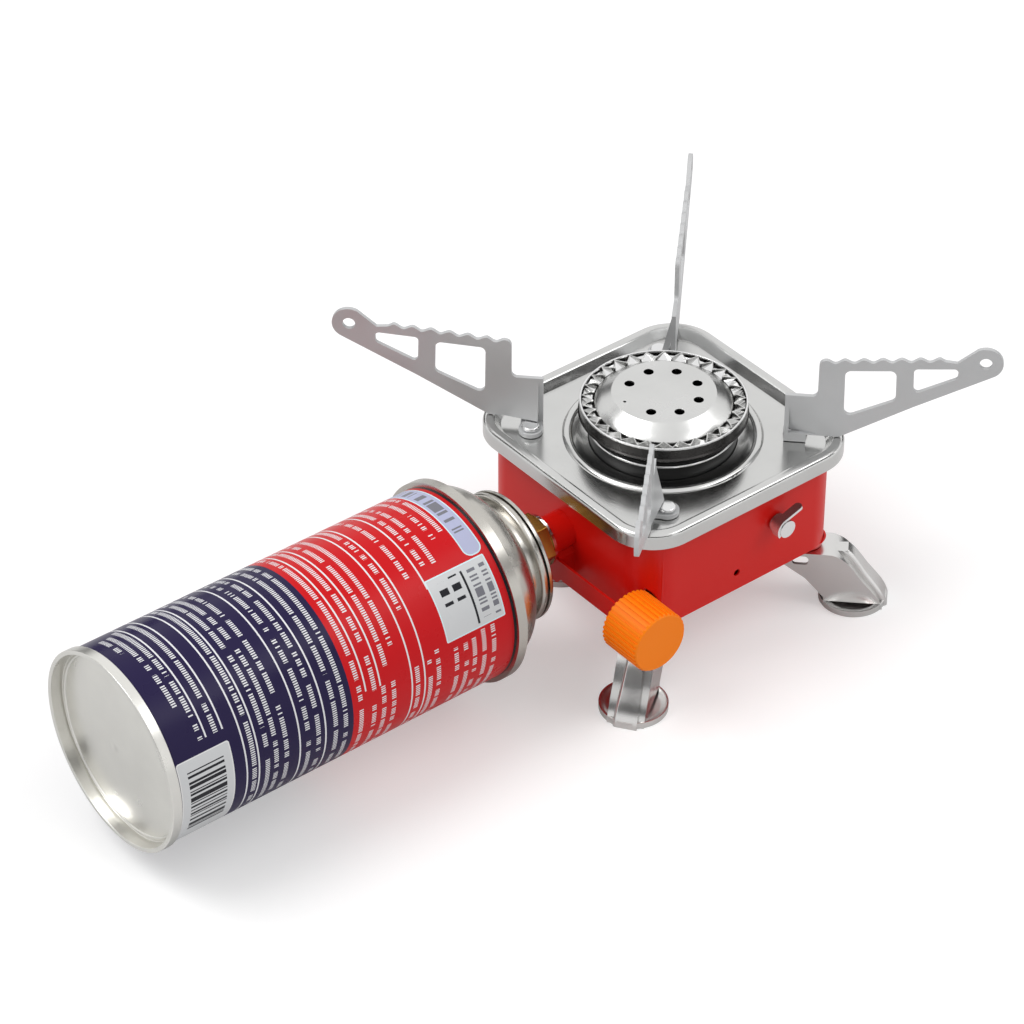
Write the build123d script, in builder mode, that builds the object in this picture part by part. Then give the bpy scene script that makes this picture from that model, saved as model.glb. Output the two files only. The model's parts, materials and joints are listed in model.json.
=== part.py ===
from build123d import *
from math import atan, cos, degrees, pi, radians, sin, sqrt
import os

os.makedirs("parts", exist_ok=True)

# A one-burner cassette stove, in millimetres. The table is z = 0 and the burner stands on the Z axis.
# The gas can lies along -X, and the ignition lever is on the -Y side.

# Fits
play = 0.05  # radial play of a shaft in its hole
gap = 0.3  # air between pieces that move past each other

# Casing
casing_side = 83.7
casing_corner = 12.0
casing_wall = 0.8
casing_z = 24.7  # underside of the casing
casing_height = 37.6
casing_flange = 3.0  # the inward flange under the top plate
vent_r = 1.2
vent_x = -3.0
vent_z = 31.7

# Base plate
base_sheet = 0.8
base_flange = 5.0
boss_depth = 3.0
boss_r = 6.3
boss_foot_r = 4.9
slot_length = 24.0
slot_width = 4.0
slot_pitch = 10.0
slot_count = 3

# Top plate
plate_side = 93.5
plate_corner = 16.5
plate_sheet = 0.7
skirt_height = 5.7
well_depth = 3.0
well_wall_run = 2.5  # how far the well's wall leans in on its way down
rim_width = 3.55
rim_round = 1.7
ring_r = 31.35  # embossed ring round the burner
ring_half_width = 1.65
ring_height = 1.0
dish_depth = 1.3
dish_run = 3.0

# Burner
bowl_r = 24.3
bowl_wall = 0.8
bowl_depth = 6.3  # how far the bowl reaches down below the top plate's floor
drum_height = 8.5  # how far the drum stands up above the top plate's floor
clamp_r = 0.6
clamp_height = 4.0  # of the clamp ring above the top plate's floor
cup_r = 27.5
cup_wall = 0.6
cup_height = 5.0
cup_lip = 0.5
fold_count = 29
fold_depth = 3.4
ribbon = 0.3
cap_r = 22.6
cap_sheet = 0.8
cap_plateau_r = 17.2
cap_shoulder = 3.0
cap_skirt = 4.3
port_circle_r = 12.0
port_r = 1.65
port_count = 8
port_start = 209.4  # azimuth of the first port, in degrees
dimple_circle_r = 14.0
dimple_r = 0.5
collar_height = 3.2  # steel collar between the drum and the cup

# Pot supports
support_sheet = 1.45
support_pivot_r = 43.0
support_offset = 4.75  # from the blade to the rivet's axis
support_rivet_r = 1.6
support_head_r = 3.0
support_head = 1.2
foot_length = 7.2
foot_pad_r = 4.0
blade_root_r = 39.4
blade_corner_r = 57.3
blade_shelf_z = 81.7
blade_inner_r = 49.8
blade_round = 2.0
tooth_inner_z = 96.2
tooth_outer_z = 99.6
tooth_inner_r = 52.0
tooth_outer_r = 88.0
tooth_count = 7
tooth_height = 1.3
tip_r = 102.8
tip_z = 98.9
tip_round = 5.6
tip_neck = 9.0  # from the tip's centre back to where the top edge starts
eyelet_r = 2.1
blade_edge_r = 80.7
blade_edge_z = 80.2
outer_window = ((94.4, 96.2), (80.1, 95.1), (80.4, 85.2), (94.2, 92.3))
outer_round = 1.4
inner_window = ((74.6, 93.9), (58.2, 92.7), (58.5, 74.2), (74.9, 82.2))
inner_round = 2.0
gusset_depth = 3.0

# Legs
leg_pivot = 34.6  # of each leg's rivet from the two middle planes
leg_sheet = 1.2
leg_half_width = 6.2
leg_hub_back = 7.1
leg_hub_run = 8.6
leg_flange_depth = 5.0
leg_knee_run = 18.9  # from the rivet to the middle of the shin
leg_knee_z = 11.5
leg_toe_run = 6.6  # from the rivet to the inner end of the flanges' foot
leg_toe_z = 3.5
leg_brow_run = 0.2
leg_brow_z = 11.1
leg_window_length = 5.4
leg_window_height = 3.4
leg_window_round = 1.2
leg_window_back = 1.7
leg_rivet_r = 2.0
leg_head_r = 3.2
leg_head = 1.0
leg_washer = 0.5
pad_r = 11.4
pad_reach = 16.1  # from the rivet to the pad's centre
pad_rim = 2.2
pad_slope = 65.0  # of the dish's wall from upright, in degrees
rib_height = 1.6
rib_half_top = 2.1
rib_half_foot = 4.2
rib_round = 1.2
front_leg_azimuth = 214.8
tucked_angle = -162.0

# Gas inlet and valve
gas_z = 43.7
valve_half_width = 6.0
valve_depth_low = 6.35
valve_depth_high = 9.65
valve_low_z = 27.0
valve_top_z = 39.0
valve_chamfer = 1.5
valve_boss_r = 6.4
outlet_r = 4.2
outlet_reach = 3.0
nut_flats = 17.0
neck_r = 5.0
probe_r = 2.2
probe_bore_r = 0.8
washer_r = 9.0
washer_thickness = 1.0
adapter_r = 22.6
adapter_thickness = 1.6
adapter_x = -65.6  # the face that the can meets
inlet_seal_r = 6.0
inlet_seal = 1.2
spindle_r = 1.2
spindle_out = 4.15  # of the spindle's axis from the casing wall
spindle_z = 31.95
spindle_depth = 5.0
knob_r = 10.6
knob_length = 16.0
knob_near_y = -38.0
knob_rib_count = 36
knob_rib = 0.45
knob_chamfer = 0.7
knob_relief = 0.6
guard_sheet = 0.8
guard_bottom_z = 30.2
guard_top_z = 37.5
guard_end_y = -35.0
guard_inner_y = -1.0
valve_screw_r = 1.3
valve_screw_y = 3.4
valve_screw_z = 35.9
valve_screw_head_r = 2.2
valve_screw_head = 1.4

# Jet and mixing tube
jet_r = 3.4
jet_length = 6.0
jet_bore_r = 0.4
tube_r = 6.0
tube_wall = 0.7
tube_mouth_x = -29.0
tube_bend_r = 9.0
tube_bell_r = 8.0
tube_bell_length = 5.0

# Ignition
shaft_x = 13.0
shaft_z = 45.5
shaft_r = 1.5
shaft_inner_y = -25.0
shaft_head_r = 3.1
shaft_head_y = -48.0
shaft_head_back_y = -42.5
lever_front_y = -47.7
lever_width = 3.0
lever_sheet = 1.0
lever_reach = 8.3
lever_rise = 17.0  # degrees that the strap points up
lever_wrap = 108.0  # degrees that the strap is bent round the shaft's head
cam_reach = 8.0
cam_half = 1.6
cam_width = 4.0
cam_y = -30.0
igniter_width = 8.0
igniter_depth = 9.0
igniter_bottom_z = 27.0
igniter_top_z = 38.0
plunger_r = 2.5
plunger_top_z = 43.4
plunger_length = 7.0
bracket_sheet = 0.8
electrode_angle = 85.0
electrode_r = 27.2
electrode_out = 2.4
electrode_wire_r = 0.5
electrode_top_z = 74.2
insulator_r = 1.8
insulator_bottom_z = 55.0
insulator_top_z = 68.0
insulator_collar_r = 2.6
insulator_collar = 1.5

# Gas can
can_r = 33.0
can_sheet = 0.4
can_front_x = -88.0
can_back_x = -216.0
seam_length = 3.5
back_seam_r = 33.7
front_seam_r = 34.7
seam_width = 1.6
bottom_recess = 4.5
bottom_dome = 2.0
cup_ring_r = 22.6
cup_ring = 1.8
dome_front_x = -68.5
dome_round = 15.0
dome_centre_r = 17.0
dome_centre_x = -86.0
can_neck_r = 20.4
cup_curl = 1.0
cup_well_r = 15.0
cup_well_depth = 7.0
stem_r = 1.6
stem_length = 6.0
stem_seal_r = 5.0

# Heights and places that follow from the sizes above
casing_half = casing_side / 2
casing_top_z = casing_z + casing_height
floor_z = casing_top_z + plate_sheet  # top face of the plate's well
crest_z = floor_z + well_depth
plate_half = plate_side / 2
well_crest_half = plate_half - rim_width
well_floor_half = well_crest_half - well_wall_run
dish_z = floor_z - dish_depth
bore_r = bowl_r + gap
cup_z = floor_z + drum_height
cap_edge_z = cup_z + cup_wall + cap_skirt
boss_z = casing_z - boss_depth
leg_top_z = boss_z - gap
foot_z = floor_z + gap
support_spots = [
    (
        support_pivot_r * cos(radians(corner)) - support_offset * sin(radians(corner)),
        support_pivot_r * sin(radians(corner)) + support_offset * cos(radians(corner)),
    )
    for corner in (45, 135, 225, 315)
]
wall_x = -casing_half  # outer face of the gas inlet's wall
spindle_x = wall_x - spindle_out
front_y = -casing_half
electrode_spot = (
    electrode_r * cos(radians(electrode_angle)),
    electrode_r * sin(radians(electrode_angle)),
)


def rounded_square(half, corner):
    """A square with rounded corners, on the current sketch."""
    RectangleRounded(2 * half, 2 * half, corner)


def corner_at(half):
    """Corner radius of a square that is concentric with the top plate's outline."""
    return plate_corner - (plate_half - half)


# Top plate: a pressed sheet with a rolled rim, a sunk well and a ring embossed round the burner.
def dish_line(drop):
    """The middle of the well from outside to the burner's hole, lowered by drop."""
    outer = ring_r + ring_half_width
    inner = ring_r - ring_half_width
    level = floor_z - drop
    Line((outer + ring_half_width, level), (outer, level))
    ThreePointArc((outer, level), (ring_r, level + ring_height), (inner, level))
    Polyline((inner, level), (inner - dish_run, level - dish_depth), (bore_r, level - dish_depth))


with BuildPart() as top_plate:
    with BuildSketch(Plane.XY.offset(crest_z - skirt_height)):
        rounded_square(plate_half, plate_corner)
    extrude(amount=skirt_height)
    with BuildSketch(Plane.XY.offset(crest_z - skirt_height)):
        rounded_square(plate_half - plate_sheet, corner_at(plate_half - plate_sheet))
    extrude(amount=skirt_height - plate_sheet, mode=Mode.SUBTRACT)
    lean = well_wall_run / well_depth
    wall_out = plate_sheet * sqrt(1 + lean**2)
    for level, half in (
        (floor_z - plate_sheet, well_floor_half - plate_sheet * lean + wall_out),
        (crest_z - plate_sheet / 2, well_crest_half - plate_sheet / 2 * lean + wall_out),
    ):
        with BuildSketch(Plane.XY.offset(level)):
            rounded_square(half, corner_at(half))
    loft()
    for level, half in ((floor_z, well_floor_half), (crest_z, well_crest_half)):
        with BuildSketch(Plane.XY.offset(level)):
            rounded_square(half, corner_at(half))
    loft(mode=Mode.SUBTRACT)
    fillet(top_plate.edges().group_by(Axis.Z)[-1], rim_round)
    with BuildSketch(Plane.XY.offset(floor_z)):
        Circle(ring_r + ring_half_width)
    extrude(amount=plate_sheet, both=True, mode=Mode.SUBTRACT)
    with BuildSketch(Plane.XZ):
        with BuildLine():
            dish_line(0)
            dish_line(plate_sheet)
            for r, level in (
                (ring_r + 2 * ring_half_width, floor_z),
                (bore_r, dish_z),
            ):
                Line((r, level), (r, level - plate_sheet))
        make_face()
    revolve(axis=Axis.Z)
    with BuildSketch(Plane.XY.offset(floor_z)):
        with Locations(*support_spots):
            Circle(support_rivet_r)
        with Locations(electrode_spot):
            Circle(insulator_r)
    extrude(amount=2 * plate_sheet + dish_depth, both=True, mode=Mode.SUBTRACT)
top_plate.part.label = "top_plate"
export_step(top_plate.part, "parts/top_plate.step")

# Casing: four walls in one drawn shell, open below, with a flange that carries the top plate.
with BuildPart() as casing:
    with BuildSketch(Plane.XY.offset(casing_z)):
        rounded_square(casing_half, casing_corner)
    extrude(amount=casing_height)
    with BuildSketch(Plane.XY.offset(casing_z)):
        rounded_square(casing_half - casing_wall, casing_corner - casing_wall)
    extrude(amount=casing_height - casing_wall, mode=Mode.SUBTRACT)
    with BuildSketch(Plane.XY.offset(casing_top_z)):
        rounded_square(casing_half - casing_flange, casing_corner - casing_flange)
    extrude(amount=-casing_wall, mode=Mode.SUBTRACT)
    with BuildSketch(Plane.XZ.offset(casing_half)):
        with Locations((vent_x, vent_z)):
            Circle(vent_r)
        with Locations((shaft_x, shaft_z)):
            Circle(shaft_r + play)
    extrude(amount=-2 * casing_wall, mode=Mode.SUBTRACT)
    with BuildSketch(Plane.XZ.offset(-knob_near_y - knob_relief)):
        with Locations((spindle_x, spindle_z)):
            Circle(knob_r + knob_relief)
    extrude(amount=knob_length, mode=Mode.SUBTRACT)
    with BuildSketch(Plane.YZ.offset(wall_x)):
        with Locations((0, gas_z)):
            Circle(outlet_r)
        with Locations((-valve_screw_y, valve_screw_z), (valve_screw_y, valve_screw_z)):
            Circle(valve_screw_r)
    extrude(amount=casing_wall, mode=Mode.SUBTRACT)
casing.part.label = "casing"
export_step(casing.part, "parts/casing.step")

# Base plate: a tray inside the casing, with a boss pressed down at each leg and three air slots.
leg_spots = [(x, y) for x in (-leg_pivot, leg_pivot) for y in (-leg_pivot, leg_pivot)]
tray_half = casing_half - casing_wall
boss_lean = degrees(atan((boss_r - boss_foot_r) / boss_depth))
with BuildPart() as base_plate:
    with BuildSketch(Plane.XY.offset(casing_z)):
        rounded_square(tray_half, casing_corner - casing_wall)
    extrude(amount=base_flange)
    with BuildSketch(Plane.XY.offset(casing_z + base_sheet)):
        rounded_square(tray_half - base_sheet, casing_corner - casing_wall - base_sheet)
    extrude(amount=base_flange, mode=Mode.SUBTRACT)
    with BuildSketch(Plane.XY.offset(casing_z)):
        with Locations(*leg_spots):
            Circle(boss_r)
    extrude(amount=-boss_depth, taper=boss_lean)
    with BuildSketch(Plane.XY.offset(casing_z + base_sheet)):
        with Locations(*leg_spots):
            Circle(boss_r - base_sheet / 2)
    extrude(amount=-boss_depth, taper=boss_lean, mode=Mode.SUBTRACT)
    with BuildSketch(Plane.XY.offset(boss_z)):
        with Locations(*leg_spots):
            Circle(leg_rivet_r)
    extrude(amount=boss_depth, mode=Mode.SUBTRACT)
    with BuildSketch(Plane.XY.offset(casing_z)):
        with GridLocations(0, slot_pitch, 1, slot_count):
            SlotOverall(slot_length, slot_width)
    extrude(amount=base_sheet, mode=Mode.SUBTRACT)
    with BuildSketch(Plane.XZ.offset(-knob_near_y - knob_relief)):
        with Locations((spindle_x, spindle_z)):
            Circle(knob_r + knob_relief)
    extrude(amount=knob_length, mode=Mode.SUBTRACT)
base_plate.part.label = "base_plate"
export_step(base_plate.part, "parts/base_plate.step")

# Burner bowl: the drum below the flames, open at the top and joined to the mixing tube below.
bowl_z = floor_z - bowl_depth
flange_z = dish_z - plate_sheet - bowl_wall
collar_z = cup_z - collar_height
with BuildPart() as burner_bowl:
    with BuildSketch(Plane.XZ):
        with BuildLine():
            Polyline(
                (tube_r, bowl_z),
                (bowl_r - bowl_wall, bowl_z),
                (bowl_r, bowl_z + bowl_wall),
                (bowl_r, flange_z),
                (bore_r + 2 * bowl_wall, flange_z),
                (bore_r + 2 * bowl_wall, flange_z + bowl_wall),
                (bowl_r, flange_z + bowl_wall),
                (bowl_r, collar_z),
                (bowl_r - bowl_wall, collar_z),
                (bowl_r - bowl_wall, bowl_z + bowl_wall),
                (tube_r, bowl_z + bowl_wall),
                close=True,
            )
        make_face()
    revolve(axis=Axis.Z)
    with BuildSketch(Plane.XY.offset(flange_z)):
        with Locations(electrode_spot):
            Circle(insulator_r)
    extrude(amount=bowl_wall, mode=Mode.SUBTRACT)
burner_bowl.part.label = "burner_bowl"
export_step(burner_bowl.part, "parts/burner_bowl.step")

# Collar: the bare steel band between the black drum and the cup.
with BuildPart() as burner_collar:
    with BuildSketch(Plane.XY.offset(collar_z)):
        Circle(bowl_r - clamp_r)
        Circle(bowl_r - bowl_wall, mode=Mode.SUBTRACT)
    extrude(amount=collar_height)
burner_collar.part.label = "burner_collar"
export_step(burner_collar.part, "parts/burner_collar.step")

# Clamp ring: the bright bead round the middle of the drum.
with BuildPart() as burner_clamp_ring:
    with BuildSketch(Plane.XZ):
        with BuildLine():
            Line((bowl_r, clamp_height + floor_z - clamp_r), (bowl_r, clamp_height + floor_z + clamp_r))
            ThreePointArc(
                (bowl_r, clamp_height + floor_z + clamp_r),
                (bowl_r + clamp_r, clamp_height + floor_z),
                (bowl_r, clamp_height + floor_z - clamp_r),
            )
        make_face()
    revolve(axis=Axis.Z)
burner_clamp_ring.part.label = "burner_clamp_ring"
export_step(burner_clamp_ring.part, "parts/burner_clamp_ring.step")

# Burner cup: the steel trough that holds the flame strip, with a lip rolled at its foot.
cup_floor_r = cap_r - 3 * cap_sheet
with BuildPart() as burner_cup:
    with BuildSketch(Plane.XZ):
        with BuildLine():
            Polyline(
                (cup_floor_r, cup_z),
                (cup_r, cup_z),
                (cup_r + cup_lip, cup_z + cup_lip),
                (cup_r, cup_z + 2 * cup_lip),
                (cup_r, cup_z + cup_height),
                (cup_r - cup_wall, cup_z + cup_height),
                (cup_r - cup_wall, cup_z + cup_wall),
                (cup_floor_r, cup_z + cup_wall),
                close=True,
            )
        make_face()
    revolve(axis=Axis.Z)
burner_cup.part.label = "burner_cup"
export_step(burner_cup.part, "parts/burner_cup.step")


# Flame strip: a ribbon folded into V's, standing in the trough between the cup and the cap.
def fold_points(outer_r):
    """Corners of the folded ribbon's plan, in turn at its outer and its inner bends."""
    return [
        (
            (outer_r - fold_depth * (turn % 2)) * cos(pi * turn / fold_count),
            (outer_r - fold_depth * (turn % 2)) * sin(pi * turn / fold_count),
        )
        for turn in range(2 * fold_count)
    ]


with BuildPart() as flame_strip:
    strip_r = cup_r - cup_wall - play
    fold_flank = pi * (strip_r - fold_depth / 2) / fold_count
    ribbon_inset = ribbon * sqrt(1 + (fold_depth / fold_flank) ** 2)
    with BuildSketch(Plane.XY.offset(cup_z + cup_wall)):
        with BuildLine():
            Polyline(*fold_points(strip_r), close=True)
        make_face()
        with BuildLine():
            Polyline(*fold_points(strip_r - ribbon_inset), close=True)
        make_face(mode=Mode.SUBTRACT)
    extrude(amount=cup_height - cup_wall)
flame_strip.part.label = "flame_strip"
export_step(flame_strip.part, "parts/flame_strip.step")

# Burner cap: a pressed lid with a raised flat, seven gas ports and a locating dimple.
with BuildPart() as burner_cap:
    with BuildSketch(Plane.XZ):
        with BuildLine():
            Polyline(
                (0, cap_edge_z + cap_shoulder),
                (cap_plateau_r, cap_edge_z + cap_shoulder),
                (cap_r - cap_sheet, cap_edge_z),
                (cap_r, cap_edge_z - cap_sheet),
                (cap_r, cap_edge_z - cap_skirt),
                (cap_r - cap_sheet, cap_edge_z - cap_skirt),
                (cap_r - cap_sheet, cap_edge_z - 1.5 * cap_sheet),
                (cap_plateau_r - cap_sheet / 2, cap_edge_z + cap_shoulder - cap_sheet),
                (0, cap_edge_z + cap_shoulder - cap_sheet),
                close=True,
            )
        make_face()
    revolve(axis=Axis.Z)
    with BuildSketch(Plane.XY.offset(cap_edge_z + cap_shoulder)):
        with PolarLocations(port_circle_r, port_count - 1, port_start, 360 - 360 / port_count):
            Circle(port_r)
        with PolarLocations(dimple_circle_r, 1, port_start - 360 / port_count):
            Circle(dimple_r)
    extrude(amount=-cap_sheet, mode=Mode.SUBTRACT)
burner_cap.part.label = "burner_cap"
export_step(burner_cap.part, "parts/burner_cap.step")


# Pot supports: a blade with a waved top edge, bent under at its root into a foot that turns on a rivet.
def outline(*corners, mode=Mode.ADD):
    """A straight-sided shape on the current sketch."""
    Polygon(*corners, align=None, mode=mode)


blade_low_z = crest_z + gap
wedge_r = blade_root_r + support_sheet
wedge_z = blade_low_z + gap


def pressed_wedge(inset, near_y):
    """The space under the root's slanting press, with its crease moved in by inset."""
    top = Vector(wedge_r, near_y, blade_shelf_z - support_sheet - inset)
    end = Vector(blade_corner_r - 2 * support_sheet - inset, near_y, wedge_z)
    peak_y = near_y + gusset_depth * (top.Z - wedge_z) / (blade_shelf_z - support_sheet - wedge_z)
    peak = Vector(wedge_r, peak_y, wedge_z)
    with BuildPart() as wedge:
        with BuildSketch(Plane.XZ.offset(-near_y)):
            outline((top.X, top.Z), (end.X, end.Z), (wedge_r, wedge_z))
        extrude(amount=-gusset_depth)
        slope = Plane(origin=top, x_dir=end - top, z_dir=(end - top).cross(peak - top))
        split(bisect_by=slope, keep=Keep.BOTTOM)
    return wedge.part


press_out = pressed_wedge(0, support_sheet / 2)
press_in = pressed_wedge(2 * support_sheet, -support_sheet / 2)


def wave_point(half_pitches):
    """A point of the toothed edge: even counts are crests, odd counts are troughs."""
    along = half_pitches / (2 * tooth_count - 2)
    lift = tooth_height if half_pitches % 2 == 0 else 0
    return (
        tooth_inner_r + (tooth_outer_r - tooth_inner_r) * along,
        tooth_inner_z + (tooth_outer_z - tooth_inner_z) * along - tooth_height + lift,
    )


tip_start = (tip_r + tip_round * cos(radians(60)), tip_z - tip_round * sin(radians(60)))
tip_end = (tip_r - tip_round * cos(radians(60)), tip_z + tip_round * sin(radians(60)))
shelf_bend = blade_round * (1 - cos(radians(45)))
with BuildPart() as pot_support:
    with BuildSketch(Plane.XZ):
        with BuildLine():
            Polyline(
                (blade_root_r, blade_shelf_z),
                (blade_root_r, foot_z),
                (blade_root_r + foot_length, foot_z),
                (blade_root_r + foot_length, blade_low_z),
                (blade_corner_r, blade_low_z),
                (blade_edge_r, blade_edge_z),
                tip_start,
            )
            ThreePointArc(tip_start, (tip_r + tip_round, tip_z), tip_end)
            Polyline(
                tip_end,
                (tip_r - tip_neck, tooth_outer_z - tooth_height),
                wave_point(2 * tooth_count - 1),
            )
            Spline(
                *(wave_point(turn) for turn in range(2 * tooth_count - 1, -1, -1)),
                (blade_inner_r, tooth_inner_z - blade_round),
                tangents=((-1, 0), (0, -1)),
            )
            Line(
                (blade_inner_r, tooth_inner_z - blade_round),
                (blade_inner_r, blade_shelf_z + blade_round),
            )
            ThreePointArc(
                (blade_inner_r, blade_shelf_z + blade_round),
                (blade_inner_r - shelf_bend, blade_shelf_z + shelf_bend),
                (blade_inner_r - blade_round, blade_shelf_z),
            )
            Line((blade_inner_r - blade_round, blade_shelf_z), (blade_root_r, blade_shelf_z))
        make_face()
        with Locations((tip_r, tip_z)):
            Circle(eyelet_r, mode=Mode.SUBTRACT)
    extrude(amount=support_sheet / 2, both=True)
    for window, rounding in ((outer_window, outer_round), (inner_window, inner_round)):
        with BuildSketch(Plane.XZ) as window_sketch:
            outline(*window)
            fillet(window_sketch.vertices(), rounding)
        extrude(amount=support_sheet, both=True, mode=Mode.SUBTRACT)
    with BuildSketch(Plane.XY.offset(foot_z)):
        with Locations((blade_root_r + foot_length / 2, support_offset / 2)):
            Rectangle(foot_length, support_offset)
        with Locations((support_pivot_r, support_offset)):
            Circle(foot_pad_r)
    extrude(amount=support_sheet)
    add(press_out)
    add(press_in, mode=Mode.SUBTRACT)
    with BuildSketch(Plane.XY.offset(foot_z)):
        with Locations((support_pivot_r, support_offset)):
            Circle(support_rivet_r + play)
    extrude(amount=support_sheet, mode=Mode.SUBTRACT)

for name, azimuth in (("back", 45), ("left", 135), ("front", 225), ("right", 315)):
    with BuildPart() as placed_support:
        add(pot_support.part, rotation=(0, 0, azimuth))
    placed_support.part.label = f"pot_support_{name}"
    export_step(placed_support.part, f"parts/pot_support_{name}.step")

with BuildPart() as support_rivets:
    head_z = foot_z + support_sheet + gap
    for low, high, radius in (
        (casing_top_z - support_head, casing_top_z, support_head_r),
        (casing_top_z, head_z, support_rivet_r),
        (head_z, head_z + support_head, support_head_r),
    ):
        with BuildSketch(Plane.XY.offset(low)):
            with Locations(*support_spots):
                Circle(radius)
        extrude(amount=high - low)
    fillet(support_rivets.edges().group_by(Axis.Z)[-1], support_head / 2)
support_rivets.part.label = "support_rivets"
export_step(support_rivets.part, "parts/support_rivets.step")

# Legs: a pressed channel that runs out level from its rivet and bends down to a round dished pad.
hub_r = leg_pivot * sqrt(2)
pad_centre_r = hub_r + pad_reach
shin_top_r = hub_r + leg_hub_run
shin_foot_r = pad_centre_r + pad_r - leg_sheet


def shin(inset):
    """The leg's back in profile from the bend to the pad, moved into the sheet by inset."""
    return Spline(
        (shin_top_r - inset / 2, leg_top_z - inset),
        (hub_r + leg_knee_run - inset, leg_knee_z - inset / 2),
        (shin_foot_r - inset, 0),
        tangents=((1, -0.25), (0.25, -1)),
    )


with BuildPart() as leg_rib:
    with BuildSketch(Plane.XZ):
        with BuildLine():
            crest = shin(-rib_height)
            valley = shin(leg_sheet / 2)
            Line(crest @ 0, valley @ 0)
            Line(crest @ 1, valley @ 1)
        make_face()
    extrude(amount=leg_half_width, both=True)
    with BuildSketch(Plane.XY):
        outline(
            (shin_top_r - leg_sheet, -rib_half_top),
            (shin_foot_r + rib_height, -rib_half_foot),
            (shin_foot_r + rib_height, rib_half_foot),
            (shin_top_r - leg_sheet, rib_half_top),
        )
    extrude(amount=leg_top_z - leg_sheet / 2, mode=Mode.INTERSECT)
    crest_face = leg_rib.faces().sort_by(SortBy.AREA)[-1]
    fillet(crest_face.edges().sort_by(SortBy.LENGTH)[-2:], rib_round)

with BuildPart() as leg:
    with BuildSketch(Plane.XZ):
        with BuildLine():
            back = shin(0)
            Polyline(
                back @ 1,
                (hub_r + leg_toe_run, 0),
                (hub_r + leg_toe_run, leg_toe_z),
                (hub_r + leg_brow_run, leg_brow_z),
                (hub_r - leg_hub_back, leg_top_z - leg_flange_depth),
                (hub_r - leg_hub_back, leg_top_z),
                back @ 0,
            )
        make_face()
    extrude(amount=leg_half_width, both=True)
    with BuildSketch(Plane.XZ):
        with BuildLine():
            inside = shin(leg_sheet)
            Polyline(
                inside @ 1,
                (hub_r - 2 * leg_hub_back, 0),
                (hub_r - 2 * leg_hub_back, leg_top_z - leg_sheet),
                inside @ 0,
            )
        make_face()
    extrude(amount=leg_half_width - leg_sheet, both=True, mode=Mode.SUBTRACT)
    with BuildSketch(Plane.XZ):
        with Locations((hub_r - leg_window_back, leg_top_z - leg_sheet - leg_window_height / 2)):
            RectangleRounded(leg_window_length, leg_window_height, leg_window_round)
    extrude(amount=2 * leg_half_width, both=True, mode=Mode.SUBTRACT)
    add(leg_rib.part)
    with BuildSketch(Plane.XY):
        with Locations((pad_centre_r, 0)):
            Circle(pad_r)
    extrude(amount=pad_rim)
    with BuildSketch(Plane.XY.offset(pad_rim)):
        with Locations((pad_centre_r, 0)):
            Circle(pad_r - leg_sheet / 2)
    extrude(amount=leg_sheet - pad_rim, taper=pad_slope, mode=Mode.SUBTRACT)
    with BuildSketch(Plane.XY.offset(leg_top_z)):
        with Locations((hub_r, 0)):
            Circle(leg_rivet_r + play)
    extrude(amount=-leg_sheet, mode=Mode.SUBTRACT)

# The left leg is folded in under the base, and the front leg stands a little back from its stop.
for name, spot_x, spot_y, azimuth in (
    ("back", leg_pivot, leg_pivot, 45),
    ("left", -leg_pivot, leg_pivot, 135 + tucked_angle),
    ("front", -leg_pivot, -leg_pivot, front_leg_azimuth),
    ("right", leg_pivot, -leg_pivot, 315),
):
    with BuildPart() as placed_leg:
        with Locations(Location((spot_x, spot_y, 0), (0, 0, azimuth))):
            with Locations((-hub_r, 0, 0)):
                add(leg.part)
    placed_leg.part.label = f"leg_{name}"
    export_step(placed_leg.part, f"parts/leg_{name}.step")

with BuildPart() as leg_rivets:
    lower_head_z = leg_top_z - leg_sheet - gap - leg_washer - leg_head
    inner_head_z = boss_z + base_sheet
    for low, high, radius in (
        (lower_head_z, lower_head_z + leg_head, leg_head_r),
        (lower_head_z + leg_head, inner_head_z, leg_rivet_r),
        (inner_head_z, inner_head_z + leg_head, leg_head_r),
    ):
        with BuildSketch(Plane.XY.offset(low)):
            with Locations(*leg_spots):
                Circle(radius)
        extrude(amount=high - low)
leg_rivets.part.label = "leg_rivets"
export_step(leg_rivets.part, "parts/leg_rivets.step")

with BuildPart() as leg_washers:
    with BuildSketch(Plane.XY.offset(lower_head_z + leg_head)):
        with Locations(*leg_spots):
            Circle(leg_head_r + gap)
            Circle(leg_rivet_r, mode=Mode.SUBTRACT)
    extrude(amount=leg_washer)
leg_washers.part.label = "leg_washers"
export_step(leg_washers.part, "parts/leg_washers.step")

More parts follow.
